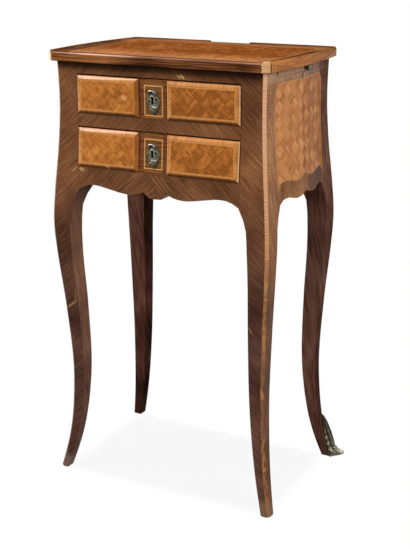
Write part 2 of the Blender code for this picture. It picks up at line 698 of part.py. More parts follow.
def turned(name, profile, parent):
    """A profile of (radius, height) from the crown to the seat, turned about its own axis."""
    mesh = bpy.data.meshes.new(name)
    points = [(radius, 0, height) for radius, height in profile]
    mesh.from_pydata(points, [(k, k + 1) for k in range(len(points) - 1)], [])
    mesh.materials.append(BRONZE)
    piece = bpy.data.objects.new(name, mesh)
    screw = piece.modifiers.new("turning", "SCREW")
    screw.steps = 20
    screw.render_steps = 20
    screw.use_merge_vertices = True
    screw.merge_threshold = 0.00001
    piece.parent = parent
    parts.objects.link(piece)
    return piece


KNOB_PROFILE = ((0.0, 1.0), (0.55, 0.95), (0.92, 0.82), (1.0, 0.68), (0.85, 0.50), (0.48, 0.36), (0.42, 0.20),
                (0.70, 0.12), (0.70, 0.0), (0.0, 0.0))
knob = turned("slide_knob", [(r * KNOB_RADIUS, h * KNOB_LENGTH) for r, h in KNOB_PROFILE], slide_axis)
knob.location = (slide_edge_x.max() + GLUE, 0, 0)
knob.rotation_euler = (0, math.pi / 2, 0)


# Top: a board inside edge mouldings, with pale blocks at the canted corners
def top_side(y):
    """Outer line of the bowed side edges."""
    return HALF_TOP_W + TOP_BOW * (1 - (y / HALF_TOP_D) ** 2)


rim_y = np.linspace(-HALF_TOP_D + RIM + GLUE, HALF_TOP_D - RIM - GLUE, 15)
field_edge = list(zip(top_side(rim_y) - RIM - GLUE, rim_y))
field_plan = field_edge + [(-x, y) for x, y in field_edge[::-1]]
slab("top_board", field_plan, 2, BODY_TOP, TABLE_HEIGHT, KINGWOOD)


def rim_profile(rise):
    """Edge moulding, from the board outward: a flat seat, a rounded nose and a lip of some rise."""
    top = TABLE_HEIGHT + rise
    nose = 0.3 * RIM
    ease = 0.1 * RIM
    slope = 0.05 * RIM
    return [(-RIM, BODY_TOP), (-ease, BODY_TOP), (0.0, BODY_TOP + ease), (0.0, top - nose),
            (-ease, top - ease), (-nose, top), (-LIP_WIDTH + slope, top), (-LIP_WIDTH - slope, TABLE_HEIGHT),
            (-RIM, TABLE_HEIGHT)]


front_line = HALF_TOP_W - RIM - GLUE
front_profile = [(-HALF_TOP_D - d, z) for d, z in rim_profile(RIM_RISE)]
slab("rim_front", front_profile, 0, -front_line, front_line, KINGWOOD)
for hand, side in SIDES.items():
    side_rings = []
    for y in rim_y:
        fall = (y - rim_y[0]) / (rim_y[-1] - rim_y[0])
        profile = rim_profile(LIP_RISE + fall * (BACK_LIP_RISE - LIP_RISE))
        side_rings.append([(side * (top_side(y) + d), y, z) for d, z in profile])
    loft(f"rim_{hand}", side_rings, KINGWOOD)

lipped = rim_profile(BACK_LIP_RISE)
level = rim_profile(0.1 * BACK_LIP_RISE)
rear_stations = ((-front_line, lipped), (-LIP_GAP_LEFT - LIP_END_SLOPE, lipped), (-LIP_GAP_LEFT, level),
                 (LIP_GAP_RIGHT, level), (LIP_GAP_RIGHT + LIP_END_SLOPE, lipped), (front_line, lipped))
loft("rim_rear", [[(x, HALF_TOP_D + d, z) for d, z in profile] for x, profile in rear_stations], KINGWOOD)

CORNERS = (("front", -1, RIM_RISE, LIP_RISE), ("rear", 1, BACK_LIP_RISE, BACK_LIP_RISE))
for end, to_back, end_rise, side_rise in CORNERS:
    for hand, side in SIDES.items():
        plan = ((RIM, 0.0), (CANT, 0.0), (0.0, CANT), (0.0, RIM), (RIM, RIM))
        base_ring = []
        top_ring = []
        for from_side, from_end in plan:
            x = side * (HALF_TOP_W - from_side)
            y = to_back * (HALF_TOP_D - from_end)
            rise = end_rise + (side_rise - end_rise) * from_end / RIM
            base_ring.append((x, y, BODY_TOP))
            top_ring.append((x, y, TABLE_HEIGHT + rise))
        loft(f"corner_block_{end}_{hand}", [base_ring, top_ring], BOXWOOD)

# The middle of the whole footprint, with the sabot's toe, stands over the origin
foot_side = outer_corner(FOOT_EASE, SPLAY_REAR)[0]
foot_front = outer_corner(FOOT_EASE, SPLAY_FRONT)[1]
left_reach = max(foot_side, top_side(0.0))
front_reach = max(foot_front, HALF_TOP_D)
right_reach, back_reach, _ = sabot_rings.max(axis=(0, 1))
table_centre.location = ((left_reach - right_reach) / 2, (front_reach - back_reach) / 2, 0)
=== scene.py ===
import math

import bpy
import numpy as np
from mathutils import Matrix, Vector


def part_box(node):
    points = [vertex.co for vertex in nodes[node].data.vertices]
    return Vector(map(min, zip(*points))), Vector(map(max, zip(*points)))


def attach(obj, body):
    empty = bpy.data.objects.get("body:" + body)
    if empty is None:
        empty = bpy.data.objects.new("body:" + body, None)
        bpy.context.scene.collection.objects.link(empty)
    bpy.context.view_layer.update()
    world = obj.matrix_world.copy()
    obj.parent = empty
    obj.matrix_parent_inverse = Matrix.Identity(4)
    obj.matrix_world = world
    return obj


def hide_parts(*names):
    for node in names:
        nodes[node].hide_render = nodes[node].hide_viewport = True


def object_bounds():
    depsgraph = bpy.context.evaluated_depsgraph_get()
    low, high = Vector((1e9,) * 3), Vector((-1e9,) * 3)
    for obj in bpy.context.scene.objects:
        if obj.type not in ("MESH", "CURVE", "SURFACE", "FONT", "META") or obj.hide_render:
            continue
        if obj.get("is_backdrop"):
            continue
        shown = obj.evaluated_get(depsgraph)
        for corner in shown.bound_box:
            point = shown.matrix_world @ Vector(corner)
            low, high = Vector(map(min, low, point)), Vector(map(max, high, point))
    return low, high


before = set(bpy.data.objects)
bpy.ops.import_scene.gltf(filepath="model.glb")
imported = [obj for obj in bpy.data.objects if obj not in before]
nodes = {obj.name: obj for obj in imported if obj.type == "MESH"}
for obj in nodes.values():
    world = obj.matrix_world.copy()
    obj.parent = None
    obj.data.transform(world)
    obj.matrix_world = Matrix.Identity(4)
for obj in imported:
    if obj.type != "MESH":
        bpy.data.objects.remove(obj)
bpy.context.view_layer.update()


# Legs, rails, aprons and panels: beech posts sawn to a cabriole line, with oak rails and panels tenoned
# between them. All outer faces carry kingwood laid slantwise and mirrored about the middle of the front.
# The canted corners are lined with pale tulipwood, and each side has a parquetry field within stringing.
def linear(colour):
    """sRGB hex to linear light, each channel through the sRGB curve."""
    c = np.array([int(colour[i:i + 2], 16) for i in (1, 3, 5)]) / 255
    return (*np.where(c <= 0.04045, c / 12.92, ((c + 0.055) / 1.055) ** 2.4).tolist(), 1.0)


def wire(tree, kind, *values, out=0, at=None, **settings):
    """Add one shader node and give back an output of it.

    The kind may carry the node's operation after a space. Values go to the sockets in order, and those of
    at to sockets by name or number, each a link or a plain value.
    """
    kind, _, operation = kind.partition(" ")
    made = tree.nodes.new("ShaderNode" + kind)
    if operation:
        made.operation = operation
    for key, value in settings.items():
        setattr(made, key, value)
    for key, value in {**dict(enumerate(values)), **(at or {})}.items():
        if isinstance(value, bpy.types.NodeSocket):
            tree.links.new(value, made.inputs[key])
        else:
            made.inputs[key].default_value = value
    return made.outputs[out] if made.outputs else made


def material(name, roughness=0.5, metallic=0.0, gloss=0.5):
    """An empty finish: the material, its node tree and its shader."""
    made = bpy.data.materials.new(name)
    made.use_nodes = True
    shader = made.node_tree.nodes["Principled BSDF"]
    shader.inputs["Roughness"].default_value = roughness
    shader.inputs["Metallic"].default_value = metallic
    shader.inputs["Specular IOR Level"].default_value = gloss
    return made, made.node_tree, shader


def coat(tree, shader, colour, height=None, strength=0.10, depth=0.0004, roughness=None, gloss=None):
    """Link the shader's colour and, where they are given, its bump, roughness and gloss."""
    links = {"Base Color": colour, "Roughness": roughness, "Specular IOR Level": gloss}
    if height is not None:
        links["Normal"] = wire(tree, "Bump", strength, depth, at={"Height": height})
    for name, value in links.items():
        if value is not None:
            tree.links.new(value, shader.inputs[name])


top_low, top_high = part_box("top_board")
MIDDLE = (top_low + top_high) / 2


def place(tree):
    """Where a point lies on the table, in metres from the middle of the floor under it."""
    spot = wire(tree, "TexCoord", out="Object")
    spot = wire(tree, "Mapping", spot, (-MIDDLE.x, -MIDDLE.y, 0.0))
    return wire(tree, "SeparateXYZ", spot).node.outputs


def times(tree, value, *factors):
    """The product of some values."""
    for factor in factors:
        value = wire(tree, "Math MULTIPLY", value, factor)
    return value


def toned(tree, value, *rows):
    """A value raised or lowered place by place: each row adds an amount times the masks that follow it."""
    for amount, *masks in rows:
        value = wire(tree, "Math ADD", value, times(tree, amount, *masks))
    return value


def ease(tree, value, start, end, first=0.0, last=1.0):
    """The first number up to the start, the last one from the end on, and a straight slope between."""
    return wire(tree, "MapRange", value, start, end, first, last)


def window(tree, value, start, full, fall, gone):
    """One between full and fall, zero before the start and after gone, with a straight slope at each side."""
    return wire(tree, "Math MINIMUM", ease(tree, value, start, full), ease(tree, value, fall, gone, 1.0, 0.0))


def choose(tree, share, first, second):
    """The first number where the share is zero, the second where it is one."""
    return wire(tree, "Mix", share, at={2: first, 3: second})


def lay(tree, under, over, share):
    """One colour laid over another, by a share."""
    return wire(tree, "Mix", share, at={6: under, 7: over}, out=2, data_type="RGBA")


def shades(tree, value, *stops):
    """The colour of a value: places and hex colours in rising order, blended straight between them."""
    made = wire(tree, "ValToRGB", value)
    ramp = made.node.color_ramp.elements
    ramp[1].position = stops[-1][0]
    ramp[0].position = stops[0][0]
    for spot, _ in stops[1:-1]:
        ramp.new(spot)
    for stop, (_, colour) in zip(ramp, stops):
        stop.color = linear(colour)
    return made


def noise(tree, spot, scale, detail, distortion=0.0):
    """Cloudy noise, mostly 0.3 to 0.7, over one to three coordinates; the scale is cells to a unit of them."""
    return wire(tree, "TexNoise", wire(tree, "CombineXYZ", *spot),
                at={"Scale": scale, "Detail": detail, "Distortion": distortion})


def grain(tree, along, across, shift=0.0, fibre=0.0009, stripe=0.0034, run=0.05):
    """Figure of a straight-grained veneer, about 0.3 to 0.7.

    Fine noise drawn out along the fibre is laid over slower stripes, both in real widths.
    """
    fine = noise(tree, (times(tree, along, 1 / run), times(tree, across, 1 / fibre), shift), 1.0, 2.0)
    slow = noise(tree, (times(tree, along, 0.3 / run), times(tree, across, 1 / stripe), shift), 1.0, 3.0, 0.5)
    return toned(tree, times(tree, slow, 0.5), (0.5, fine))


def outward(tree, x, y):
    """The way a face is turned, and how much of it goes outward at the sides and at front and back."""
    facing = wire(tree, "SeparateXYZ", wire(tree, "NewGeometry", out="True Normal")).node.outputs
    to_side = times(tree, facing[0], wire(tree, "Math SIGN", x))
    to_end = times(tree, facing[1], wire(tree, "Math SIGN", y))
    return facing, to_side, to_end


# Kingwood veneer, waxed: dark violet-brown stripes, a satin polish and a faint open grain.
FLAT_FACE = 0.75             # cosine above which a face counts as turned outward
INNER_FACE = -0.7            # and below which it counts as turned inward
CANTED_FACE = 1.22           # sum of both cosines above which it counts as the canted corner
CORNER_FROM = 0.15           # the canted corners lie further than this from the middle
SIDE_SLANT = (0.10, 0.995)   # cosine and sine of the fibre's slant at the sides
END_SLANT = (0.74, 0.67)     # and at front and back
PORE = (0.035, 0.0016)       # length and width of a pore as drawn
kingwood, tree, shader = material("kingwood_veneer")
x, y, z = place(tree)
_, to_side, to_end = outward(tree, x, y)
on_side = wire(tree, "Math GREATER_THAN", to_side, FLAT_FACE)
on_end = wire(tree, "Math GREATER_THAN", to_end, FLAT_FACE)
on_cant = times(tree, wire(tree, "Math GREATER_THAN", wire(tree, "Math ADD", to_side, to_end), CANTED_FACE),
                wire(tree, "Math GREATER_THAN", wire(tree, "Math ABSOLUTE", x), CORNER_FROM))
diagonal = wire(tree, "Math ADD", x, y)
face = choose(tree, on_end, times(tree, diagonal, 0.5), wire(tree, "Math ABSOLUTE", x))
slant_cos = choose(tree, on_end, SIDE_SLANT[0], END_SLANT[0])
slant_sin = choose(tree, on_end, SIDE_SLANT[1], END_SLANT[1])
along = toned(tree, times(tree, face, slant_cos), (-1.0, z, slant_sin))
across = toned(tree, times(tree, face, slant_sin), (1.0, z, slant_cos))
across = toned(tree, across, (1.0, noise(tree, (x, y, z), 34.0, 2.0), choose(tree, on_end, 0.003, 0.006)))
cloud = noise(tree, (x, y, z), 11.0, 2.0)
# Pores and flecks are a few tenths of a millimetre in the wood, too fine to show, so both are drawn coarser.
pores = noise(tree, (times(tree, along, 1 / PORE[0]), times(tree, across, 1 / PORE[1])), 1.0, 1.0)
fleck = noise(tree, (x, y, z), 420.0, 1.0)
flecked = ease(tree, fleck, 0.3, 0.7)
low_leg = ease(tree, z, 0.30, 0.55, 1.0, 0.0)
before = ease(tree, y, 0.0, 0.03, 1.0, 0.0)
rear = ease(tree, y, 0.0, 0.09)
upper_side = times(tree, on_side, ease(tree, z, 0.34, 0.54))
figure = toned(
    tree, 0.07, (0.44, grain(tree, along, across, run=0.03)), (0.38, cloud), (0.10, ease(tree, pores, 0.3, 0.7)),
    # paler at the left end, and a little right of the middle
    (0.055, ease(tree, x, -0.19, -0.10, 1.0, 0.0)), (0.015, ease(tree, x, -0.02, 0.06)),
    # painted shade: legs darker towards the floor, the left front and right rear ones most
    (-0.03, low_leg), (-0.045, low_leg, ease(tree, diagonal, -0.16, -0.12, 1.0, 0.0)),
    (-0.03, low_leg, ease(tree, diagonal, 0.20, 0.26)),
    # painted shade: darker behind, the left rear leg most
    (-0.02, rear), (-0.15, ease(tree, wire(tree, "Math SUBTRACT", y, x), 0.1, 0.27)),
    # sides lighter above the legs, partly faded veneer and partly painted light from the right, least at the rear
    # edge, most in front on the apron and above it
    (0.085, upper_side), (0.02, upper_side, ease(tree, y, -0.085, 0.03, 1.0, 0.0)),
    (-0.05, upper_side, ease(tree, y, 0.075, 0.09)),
    (0.07, upper_side, before, ease(tree, z, 0.505, 0.535, 1.0, 0.0)),
    (0.04, upper_side, before, ease(tree, z, 0.55, 0.60)),
    # behind the seam of the side: painted shade on the apron and on the strip under the top, where that half of
    # the veneer catches less light, and a lighter rear leg
    (-0.075, on_side, window(tree, y, 0.004, 0.010, 0.070, 0.085), window(tree, z, 0.485, 0.500, 0.54, 0.56)),
    (-0.10, on_side, ease(tree, z, 0.685, 0.693), ease(tree, y, 0.0, 0.03)),
    (0.09, on_side, rear, window(tree, z, 0.26, 0.31, 0.41, 0.45)),
    # front: right leg scuffed low down, top rail darker at its right, and painted shadow under the moulding
    (0.05, on_end, window(tree, z, 0.02, 0.05, 0.08, 0.15), ease(tree, x, 0.0, 0.1)),
    (-0.06, on_end, ease(tree, z, 0.684, 0.688), ease(tree, x, 0.02, 0.10)),
    (-0.19, on_end, ease(tree, z, 0.692, 0.704)),
    # flecks, about as much pale as dark
    (-0.06, on_side), (0.14, on_side, flecked), (-0.03, on_end), (0.06, on_end, flecked))
veneer = shades(tree, figure, (0.24, "#160C07"), (0.40, "#3E2516"), (0.49, "#583720"), (0.58, "#6F472C"),
                (0.70, "#90623F"), (0.84, "#B2855C"))
violet = shades(tree, figure, (0.24, "#140B0A"), (0.40, "#2E1B17"), (0.49, "#472E28"), (0.58, "#5E4038"),
                (0.70, "#785854"))
cool = times(tree, low_leg, ease(tree, on_side, 0.0, 1.0, 1.0, 0.15))
veneer = lay(tree, veneer, violet, times(tree, wire(tree, "Math MAXIMUM", cool, rear), 0.75))
weathered = shades(tree, figure, (0.40, "#4E382C"), (0.62, "#8F6E55"), (0.78, "#AC8C70"))
veneer = lay(tree, veneer, weathered, times(tree, on_side, ease(tree, z, 0.684, 0.690, 0.0, 0.75)))

# Inner faces of the legs, and undersides: the same figure in duller colours, darker where they lie in shade.
inner_left = times(tree, wire(tree, "Math LESS_THAN", to_side, INNER_FACE), wire(tree, "Math LESS_THAN", x, 0.0))
inner_end = wire(tree, "Math LESS_THAN", to_end, INNER_FACE)
hidden = wire(tree, "Math MAXIMUM", times(tree, rear, ease(tree, z, 0.15, 0.42, 0.18, 0.38)),
              ease(tree, z, 0.44, 0.50, 0.0, 0.8))
shaded = toned(
    tree, figure, (-0.20, inner_left, hidden),
    (-0.10, ease(tree, z, 0.08, 0.28, 1.0, 0.0), ease(tree, y, 0.0, 0.05, 1.0, 0.0)),
    (-0.14, rear, inner_end, ease(tree, z, 0.44, 0.48)), (-0.06, rear, ease(tree, z, 0.04, 0.12, 1.0, 0.0)))
plain = shades(tree, shaded, (0.20, "#1C0E0A"), (0.38, "#55321F"), (0.50, "#785037"), (0.66, "#94684A"))
dull = shades(tree, shaded, (0.20, "#180D0C"), (0.38, "#4A2E28"), (0.50, "#6C4A42"), (0.66, "#86645C"))
duller = wire(tree, "Math MAXIMUM", rear, times(tree, low_leg, 0.6))
plain = lay(tree, plain, dull, times(tree, duller, 0.7))
base = lay(tree, plain, veneer, wire(tree, "Math MAXIMUM", on_side, on_end))


def basket(tree, a, b, block, strips):
    """Basket parquetry laid at 45 degrees: squares of strips, each turned a quarter from its neighbours.

    Gives the tone of the wood, the darkness of the joints and the turn of the square, all 0 to 1.
    """
    p = times(tree, wire(tree, "Math ADD", a, b), math.sqrt(0.5) / block)
    q = times(tree, wire(tree, "Math SUBTRACT", b, a), math.sqrt(0.5) / block)
    row = wire(tree, "Math FLOOR", p)
    column = wire(tree, "Math FLOOR", q)
    turn = wire(tree, "Math FLOORED_MODULO", wire(tree, "Math ADD", row, column), 2.0)
    across = choose(tree, turn, wire(tree, "Math FRACT", q), wire(tree, "Math FRACT", p))
    along = choose(tree, turn, p, q)
    count = times(tree, across, float(strips))
    of_strip = wire(tree, "TexWhiteNoise", wire(tree, "CombineXYZ", row, column, wire(tree, "Math FLOOR", count)))
    of_square = wire(tree, "TexWhiteNoise", wire(tree, "CombineXYZ", row, column, 40.0))
    figure = grain(tree, times(tree, along, block), times(tree, across, block), times(tree, of_strip, 90.0),
                   fibre=0.0005, stripe=0.0016, run=0.008)
    tone = toned(tree, 0.03, (0.55, figure), (0.25, of_strip), (0.15, of_square))
    edge = wire(tree, "Math MINIMUM", wire(tree, "Math PINGPONG", p, 0.5), wire(tree, "Math PINGPONG", q, 0.5))
    outer = ease(tree, edge, 0.0, 0.06, 0.7, 0.0)
    inner = ease(tree, wire(tree, "Math PINGPONG", count, 0.5), 0.0, 0.22, 0.6, 0.0)
    return tone, wire(tree, "Math MAXIMUM", outer, inner), turn


# The parquetry field of the sides: its outline as a distance, then weave inside and stringing along it.
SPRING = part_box("side_panel_left")[0].z
FIELD_HALF = 0.0865          # half width of the field, inside its stringing
FIELD_TOP = 0.6845
FIELD_CORNER = 0.018
STRING = 0.0016
APRON_HALF = 0.0880          # half width and rise of the box that the lower line is drawn in
APRON_RISE = 0.040
APRON_LINE = ((0.0, 0.0380), (0.08, 0.0345), (0.19, 0.0310), (0.36, 0.0300), (0.64, 0.0340), (0.83, 0.0335),
              (0.93, 0.0280), (1.0, 0.0060))     # share of the half width, and height above the lower edge
from_middle = wire(tree, "Math ABSOLUTE", y)
past_y = wire(tree, "Math SUBTRACT", from_middle, FIELD_HALF - FIELD_CORNER)
past_z = wire(tree, "Math SUBTRACT", z, FIELD_TOP - FIELD_CORNER)
round_corner = wire(tree, "VectorMath LENGTH", wire(tree, "CombineXYZ", wire(tree, "Math MAXIMUM", past_y, 0.0),
                                                    wire(tree, "Math MAXIMUM", past_z, 0.0)), out=1)
within = wire(tree, "Math MINIMUM", wire(tree, "Math MAXIMUM", past_y, past_z), 0.0)
upper = toned(tree, round_corner, (1.0, within), (-FIELD_CORNER,))
lower = wire(tree, "FloatCurve", 1.0, wire(tree, "Math DIVIDE", from_middle, APRON_HALF))
knots = lower.node.mapping.curves[0].points
for knot, (share, rise) in zip(knots, (APRON_LINE[0], APRON_LINE[-1])):
    knot.location = (share, rise / APRON_RISE)
for share, rise in APRON_LINE[1:-1]:
    knots.new(share, rise / APRON_RISE)
lower.node.mapping.update()
lower = ease(tree, lower, 0.0, 1.0, SPRING, SPRING + APRON_RISE)
outline = wire(tree, "Math MAXIMUM", upper, wire(tree, "Math SUBTRACT", lower, z))
tone, joint, turn = basket(tree, y, z, block=0.0153, strips=3)
# Behind the seam the weave is darker: painted shade, as on the apron.
tone = toned(tree, tone, (0.30, fleck), (0.14, turn), (-0.135,), (-0.16, ease(tree, y, -0.006, -0.001)))
weave = shades(tree, tone, (0.26, "#84502C"), (0.48, "#AA6E40"), (0.72, "#C08452"), (0.94, "#D69A68"))
weave = lay(tree, weave, linear("#7A4726"), times(tree, joint, 0.22))
base = lay(tree, base, weave, times(tree, on_side, wire(tree, "Math LESS_THAN", outline, 0.0)))
line = wire(tree, "Math COMPARE", outline, STRING / 2, STRING / 2)
base = lay(tree, base, linear("#C08E5C"), times(tree, line, on_side, 0.6))

# The canted corner: tulipwood laid across it, pale above, darker and with pieces gone below. The gaps are drawn
# out along the leg and coarser than the real splinters, which are too fine to show.
band = noise(tree, (times(tree, z, 420.0),), 1.0, 2.0)
band = toned(tree, band, (0.29, ease(tree, z, 0.33, 0.64)))
corner = shades(tree, band, (0.36, "#8E5A2C"), (0.55, "#BA8450"), (0.70, "#CB9770"), (0.86, "#DBA988"))
level = toned(tree, z, (-0.005,), (0.010, noise(tree, (x, y, z), 260.0, 2.0)))
kept = shades(tree, level, (0.0, "#B8B8B8"), (0.071, "#E5E5E5"), (0.126, "#909090"), (0.192, "#E8E8E8"),
              (0.215, "#B3B3B3"), (0.276, "#FBFBFB"), (0.313, "#C7C7C7"), (0.362, "#FBFBFB"), (0.391, "#D8D8D8"),
              (0.427, "#FFFFFF"))
kept.node.color_ramp.interpolation = "CONSTANT"
gnawed = noise(tree, (x, y, times(tree, z, 0.2)), 340.0, 2.0)
gnawed = choose(tree, ease(tree, z, 0.34, 0.44), ease(tree, gnawed, 0.40, 0.56, 0.15, 1.25), 1.0)
kept = wire(tree, "Math MULTIPLY", times(tree, on_cant, kept), gnawed, use_clamp=True)
base = lay(tree, base, corner, times(tree, kept, ease(tree, x, -0.1, 0.1, 0.35, 1.0)))


def mark(tree, colour, spot, reach, turn, shade, strength=0.9):
    """A scuffed or mended place, or a painted highlight, laid over a colour.

    It is an ellipsoid round a spot of the table, turned about the depth axis and broken up by noise.
    """
    position = wire(tree, "TexCoord", out="Object")
    centre = (spot[0] + MIDDLE.x, spot[1] + MIDDLE.y, spot[2])
    local = wire(tree, "Mapping", position, centre, (0, turn, 0), reach, vector_type="TEXTURE")
    ragged = wire(tree, "TexNoise", position, at={"Scale": 640.0, "Detail": 1.0})
    ball = wire(tree, "TexGradient", local, out=1, gradient_type="SPHERICAL")
    cover = ease(tree, toned(tree, ball, (1.1, ragged)), 0.70, 1.00, 0.0, strength)
    return lay(tree, colour, linear(shade), times(tree, cover, wire(tree, "Math GREATER_THAN", ball, 0.0)))


# Chips, scuffs and painted highlights: two chips on the top rail, two beside the lower field, the forked one on
# the left front leg, one on the right front leg, three pale stripes over the pendant that are painted highlights,
# both front feet, and a dark patch under the knob at the side's seam. A row gives its place, half sizes, turn,
# colour and strength.
MARKS = (((0.0394, -0.122, 0.6915), (0.0058, 0.008, 0.0024), 0.75, "#A98856", 0.9),
         ((0.0452, -0.122, 0.6918), (0.0062, 0.008, 0.0028), 0.75, "#C6A265", 0.9),
         ((-0.1364, -0.128, 0.5362), (0.0065, 0.012, 0.0034), 0.15, "#A98458", 0.9),
         ((-0.1500, -0.128, 0.5356), (0.0110, 0.012, 0.0016), -0.75, "#A07C55", 0.9),
         ((-0.1695, -0.118, 0.3030), (0.0200, 0.018, 0.0026), -0.62, "#98703F", 0.9),
         ((-0.1610, -0.118, 0.3190), (0.0200, 0.018, 0.0020), -1.50, "#8F683A", 0.8),
         ((0.1612, -0.120, 0.3110), (0.0090, 0.020, 0.0015), 1.10, "#A07A58", 0.8),
         ((0.0012, -0.128, 0.5275), (0.0220, 0.012, 0.0022), 0.80, "#8E6238", 0.5),
         ((0.0100, -0.128, 0.5270), (0.0240, 0.012, 0.0022), 0.80, "#8E6238", 0.45),
         ((0.0185, -0.128, 0.5260), (0.0220, 0.012, 0.0022), 0.80, "#8A5E34", 0.4),
         ((0.1905, -0.121, 0.0060), (0.0300, 0.040, 0.0260), 0.0, "#8A6C52", 0.5),
         ((-0.1960, -0.126, 0.0060), (0.0300, 0.040, 0.0260), 0.0, "#7C665A", 0.5),
         ((0.1890, -0.0060, 0.6905), (0.0160, 0.0048, 0.0085), 0.0, "#4A2A22", 0.75))
for row in MARKS:
    base = mark(tree, base, *row)
coat(tree, shader, base, figure, roughness=ease(tree, cloud, 0.3, 0.7, 0.36, 0.52),
     gloss=ease(tree, rear, 0.0, 1.0, 0.04, 0.0))

# Softly worn arrises: the solid's loose triangles are joined, its edges rounded by a hair and its curves smoothed.
SHARP = math.radians(38)
soften = bpy.data.node_groups.new("smooth_curves", "GeometryNodeTree")
soften.interface.new_socket("Geometry", in_out="INPUT", socket_type="NodeSocketGeometry")
soften.interface.new_socket("Geometry", in_out="OUTPUT", socket_type="NodeSocketGeometry")
entry = soften.nodes.new("NodeGroupInput")
sharp = soften.nodes.new("FunctionNodeCompare")
sharp.operation = "GREATER_THAN"
sharp.inputs[1].default_value = SHARP
soften.links.new(soften.nodes.new("GeometryNodeInputMeshEdgeAngle").outputs[0], sharp.inputs[0])
by_face = soften.nodes.new("GeometryNodeSetShadeSmooth")
soften.links.new(entry.outputs[0], by_face.inputs[0])
by_edge = soften.nodes.new("GeometryNodeSetShadeSmooth")
by_edge.domain = "EDGE"
by_edge.inputs["Shade Smooth"].default_value = False
soften.links.new(by_face.outputs[0], by_edge.inputs[0])
soften.links.new(sharp.outputs[0], by_edge.inputs["Selection"])
soften.links.new(by_edge.outputs[0], soften.nodes.new("NodeGroupOutput").inputs[0])


def dress(finish, round_edge, *names):
    """Give solids a finish and a rounded edge of some width."""
    for name in names:
        solid = nodes[name]
        solid.data.materials.clear()
        solid.data.materials.append(finish)
        weld = solid.modifiers.new("joined", "WELD")
        weld.merge_threshold = 0.00001
        bevel = solid.modifiers.new("worn_edge", "BEVEL")
        bevel.width = round_edge
        bevel.segments = 2
        bevel.limit_method = "ANGLE"
        bevel.angle_limit = SHARP
        smooth = solid.modifiers.new("smooth_curves", "NODES")
        smooth.node_group = soften
        flat = solid.modifiers.new("flat_faces", "WEIGHTED_NORMAL")
        flat.keep_sharp = True


dress(kingwood, 0.0002, "leg_front_left", "leg_front_right", "leg_rear_left", "leg_rear_right", "front_top_rail",
      "front_mid_rail", "front_apron", "side_panel_left", "side_panel_right", "back_panel")


# Inside the carcass: quarter-sawn oak runners, drawer stops, slide bearers and glue blocks, left as planed.
# The oak gives a dry, pale straw brown with a fine open grain.
oak, tree, shader = material("oak_planed", 0.62, gloss=0.2)
x, y, z = place(tree)
figure = grain(tree, toned(tree, y, (0.15, x)), toned(tree, z, (0.8, x)), shift=3.0, fibre=0.0006, stripe=0.006,
               run=0.09)
colour = shades(tree, figure, (0.34, "#6E5031"), (0.48, "#977045"), (0.64, "#B58F5F"))
coat(tree, shader, colour, figure, strength=0.15, depth=0.0003)
dress(oak, 0.0004, *[name for name in nodes if "_runner_" in name or "_stop_" in name or "glue_block" in name],
      "slide_bearer_front", "slide_bearer_rear", "candle_slide_board")


# Drawer boxes: thin oak boards, dovetailed at the front and housed at the back, with a bottom in grooves.
dress(oak, 0.0003, *[f"{tier}_drawer_{board}" for tier in ("upper", "lower")
                     for board in ("side_left", "side_right", "back", "bottom")])


# Drawer fronts: kingwood, with a plain block in the middle that carries the lock. The block has kingwood laid
# across at each side, a rectangle of pale stringing and a brown ground under the escutcheon.
BLOCK_MIDDLE = -0.0056
BLOCK_HALF = (0.0156, 0.0226)        # half width and half height of the stringing rectangle
BLOCK_STRING = 0.0018
KEY_DROP = 0.0285                    # the keyhole's round below the top of the lock case
BORE_DROP = 0.0042                   # the middle of the keyhole's slot below its round
BORE_HALF = (0.0023, 0.0065)         # half width and half height of the bore's painted shade
for tier, drop in (("upper", 0.0026), ("lower", 0.0010)):     # its middle below that of the front
    low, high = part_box(f"{tier}_drawer_front")
    block, tree, shader = material(f"kingwood_lock_block_{tier}", 0.4, gloss=0.06)
    x, y, z = place(tree)
    off_x = wire(tree, "Math SUBTRACT", x, BLOCK_MIDDLE)
    off_z = wire(tree, "Math SUBTRACT", z, (low.z + high.z) / 2 - drop)
    past_x = wire(tree, "Math SUBTRACT", wire(tree, "Math ABSOLUTE", off_x), BLOCK_HALF[0])
    past_z = wire(tree, "Math SUBTRACT", wire(tree, "Math ABSOLUTE", off_z), BLOCK_HALF[1])
    outline = wire(tree, "Math MAXIMUM", past_x, past_z)
    figure = grain(tree, x, z, shift=1.0, fibre=0.0008, stripe=0.003, run=0.03)
    ground = shades(tree, figure, (0.36, "#4E2C14"), (0.5, "#70441F"), (0.64, "#8E5C2E"))
    purple = shades(tree, figure, (0.36, "#432212"), (0.5, "#663B20"), (0.64, "#85522F"))
    base = lay(tree, ground, purple, wire(tree, "Math GREATER_THAN", past_x, 0.0))
    pale = shades(tree, figure, (0.36, "#A87842"), (0.64, "#D0A068"))
    base = lay(tree, base, pale, wire(tree, "Math COMPARE", outline, 0.0, BLOCK_STRING / 2))
    case_low, case_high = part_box(f"{tier}_lock_case")
    # The keyhole's bore is painted near black: it stands in for the shade inside the hole.
    key_x = wire(tree, "Math SUBTRACT", x, (case_low.x + case_high.x) / 2 - MIDDLE.x)
    key_z = wire(tree, "Math SUBTRACT", z, case_high.z - KEY_DROP - BORE_DROP)
    bore_shade = times(tree, wire(tree, "Math COMPARE", key_x, 0.0, BORE_HALF[0]),
                  wire(tree, "Math COMPARE", key_z, 0.0, BORE_HALF[1]))
    coat(tree, shader, lay(tree, base, linear("#0E0806"), bore_shade), figure, strength=0.08)
    dress(block, 0.0004, f"{tier}_drawer_front")


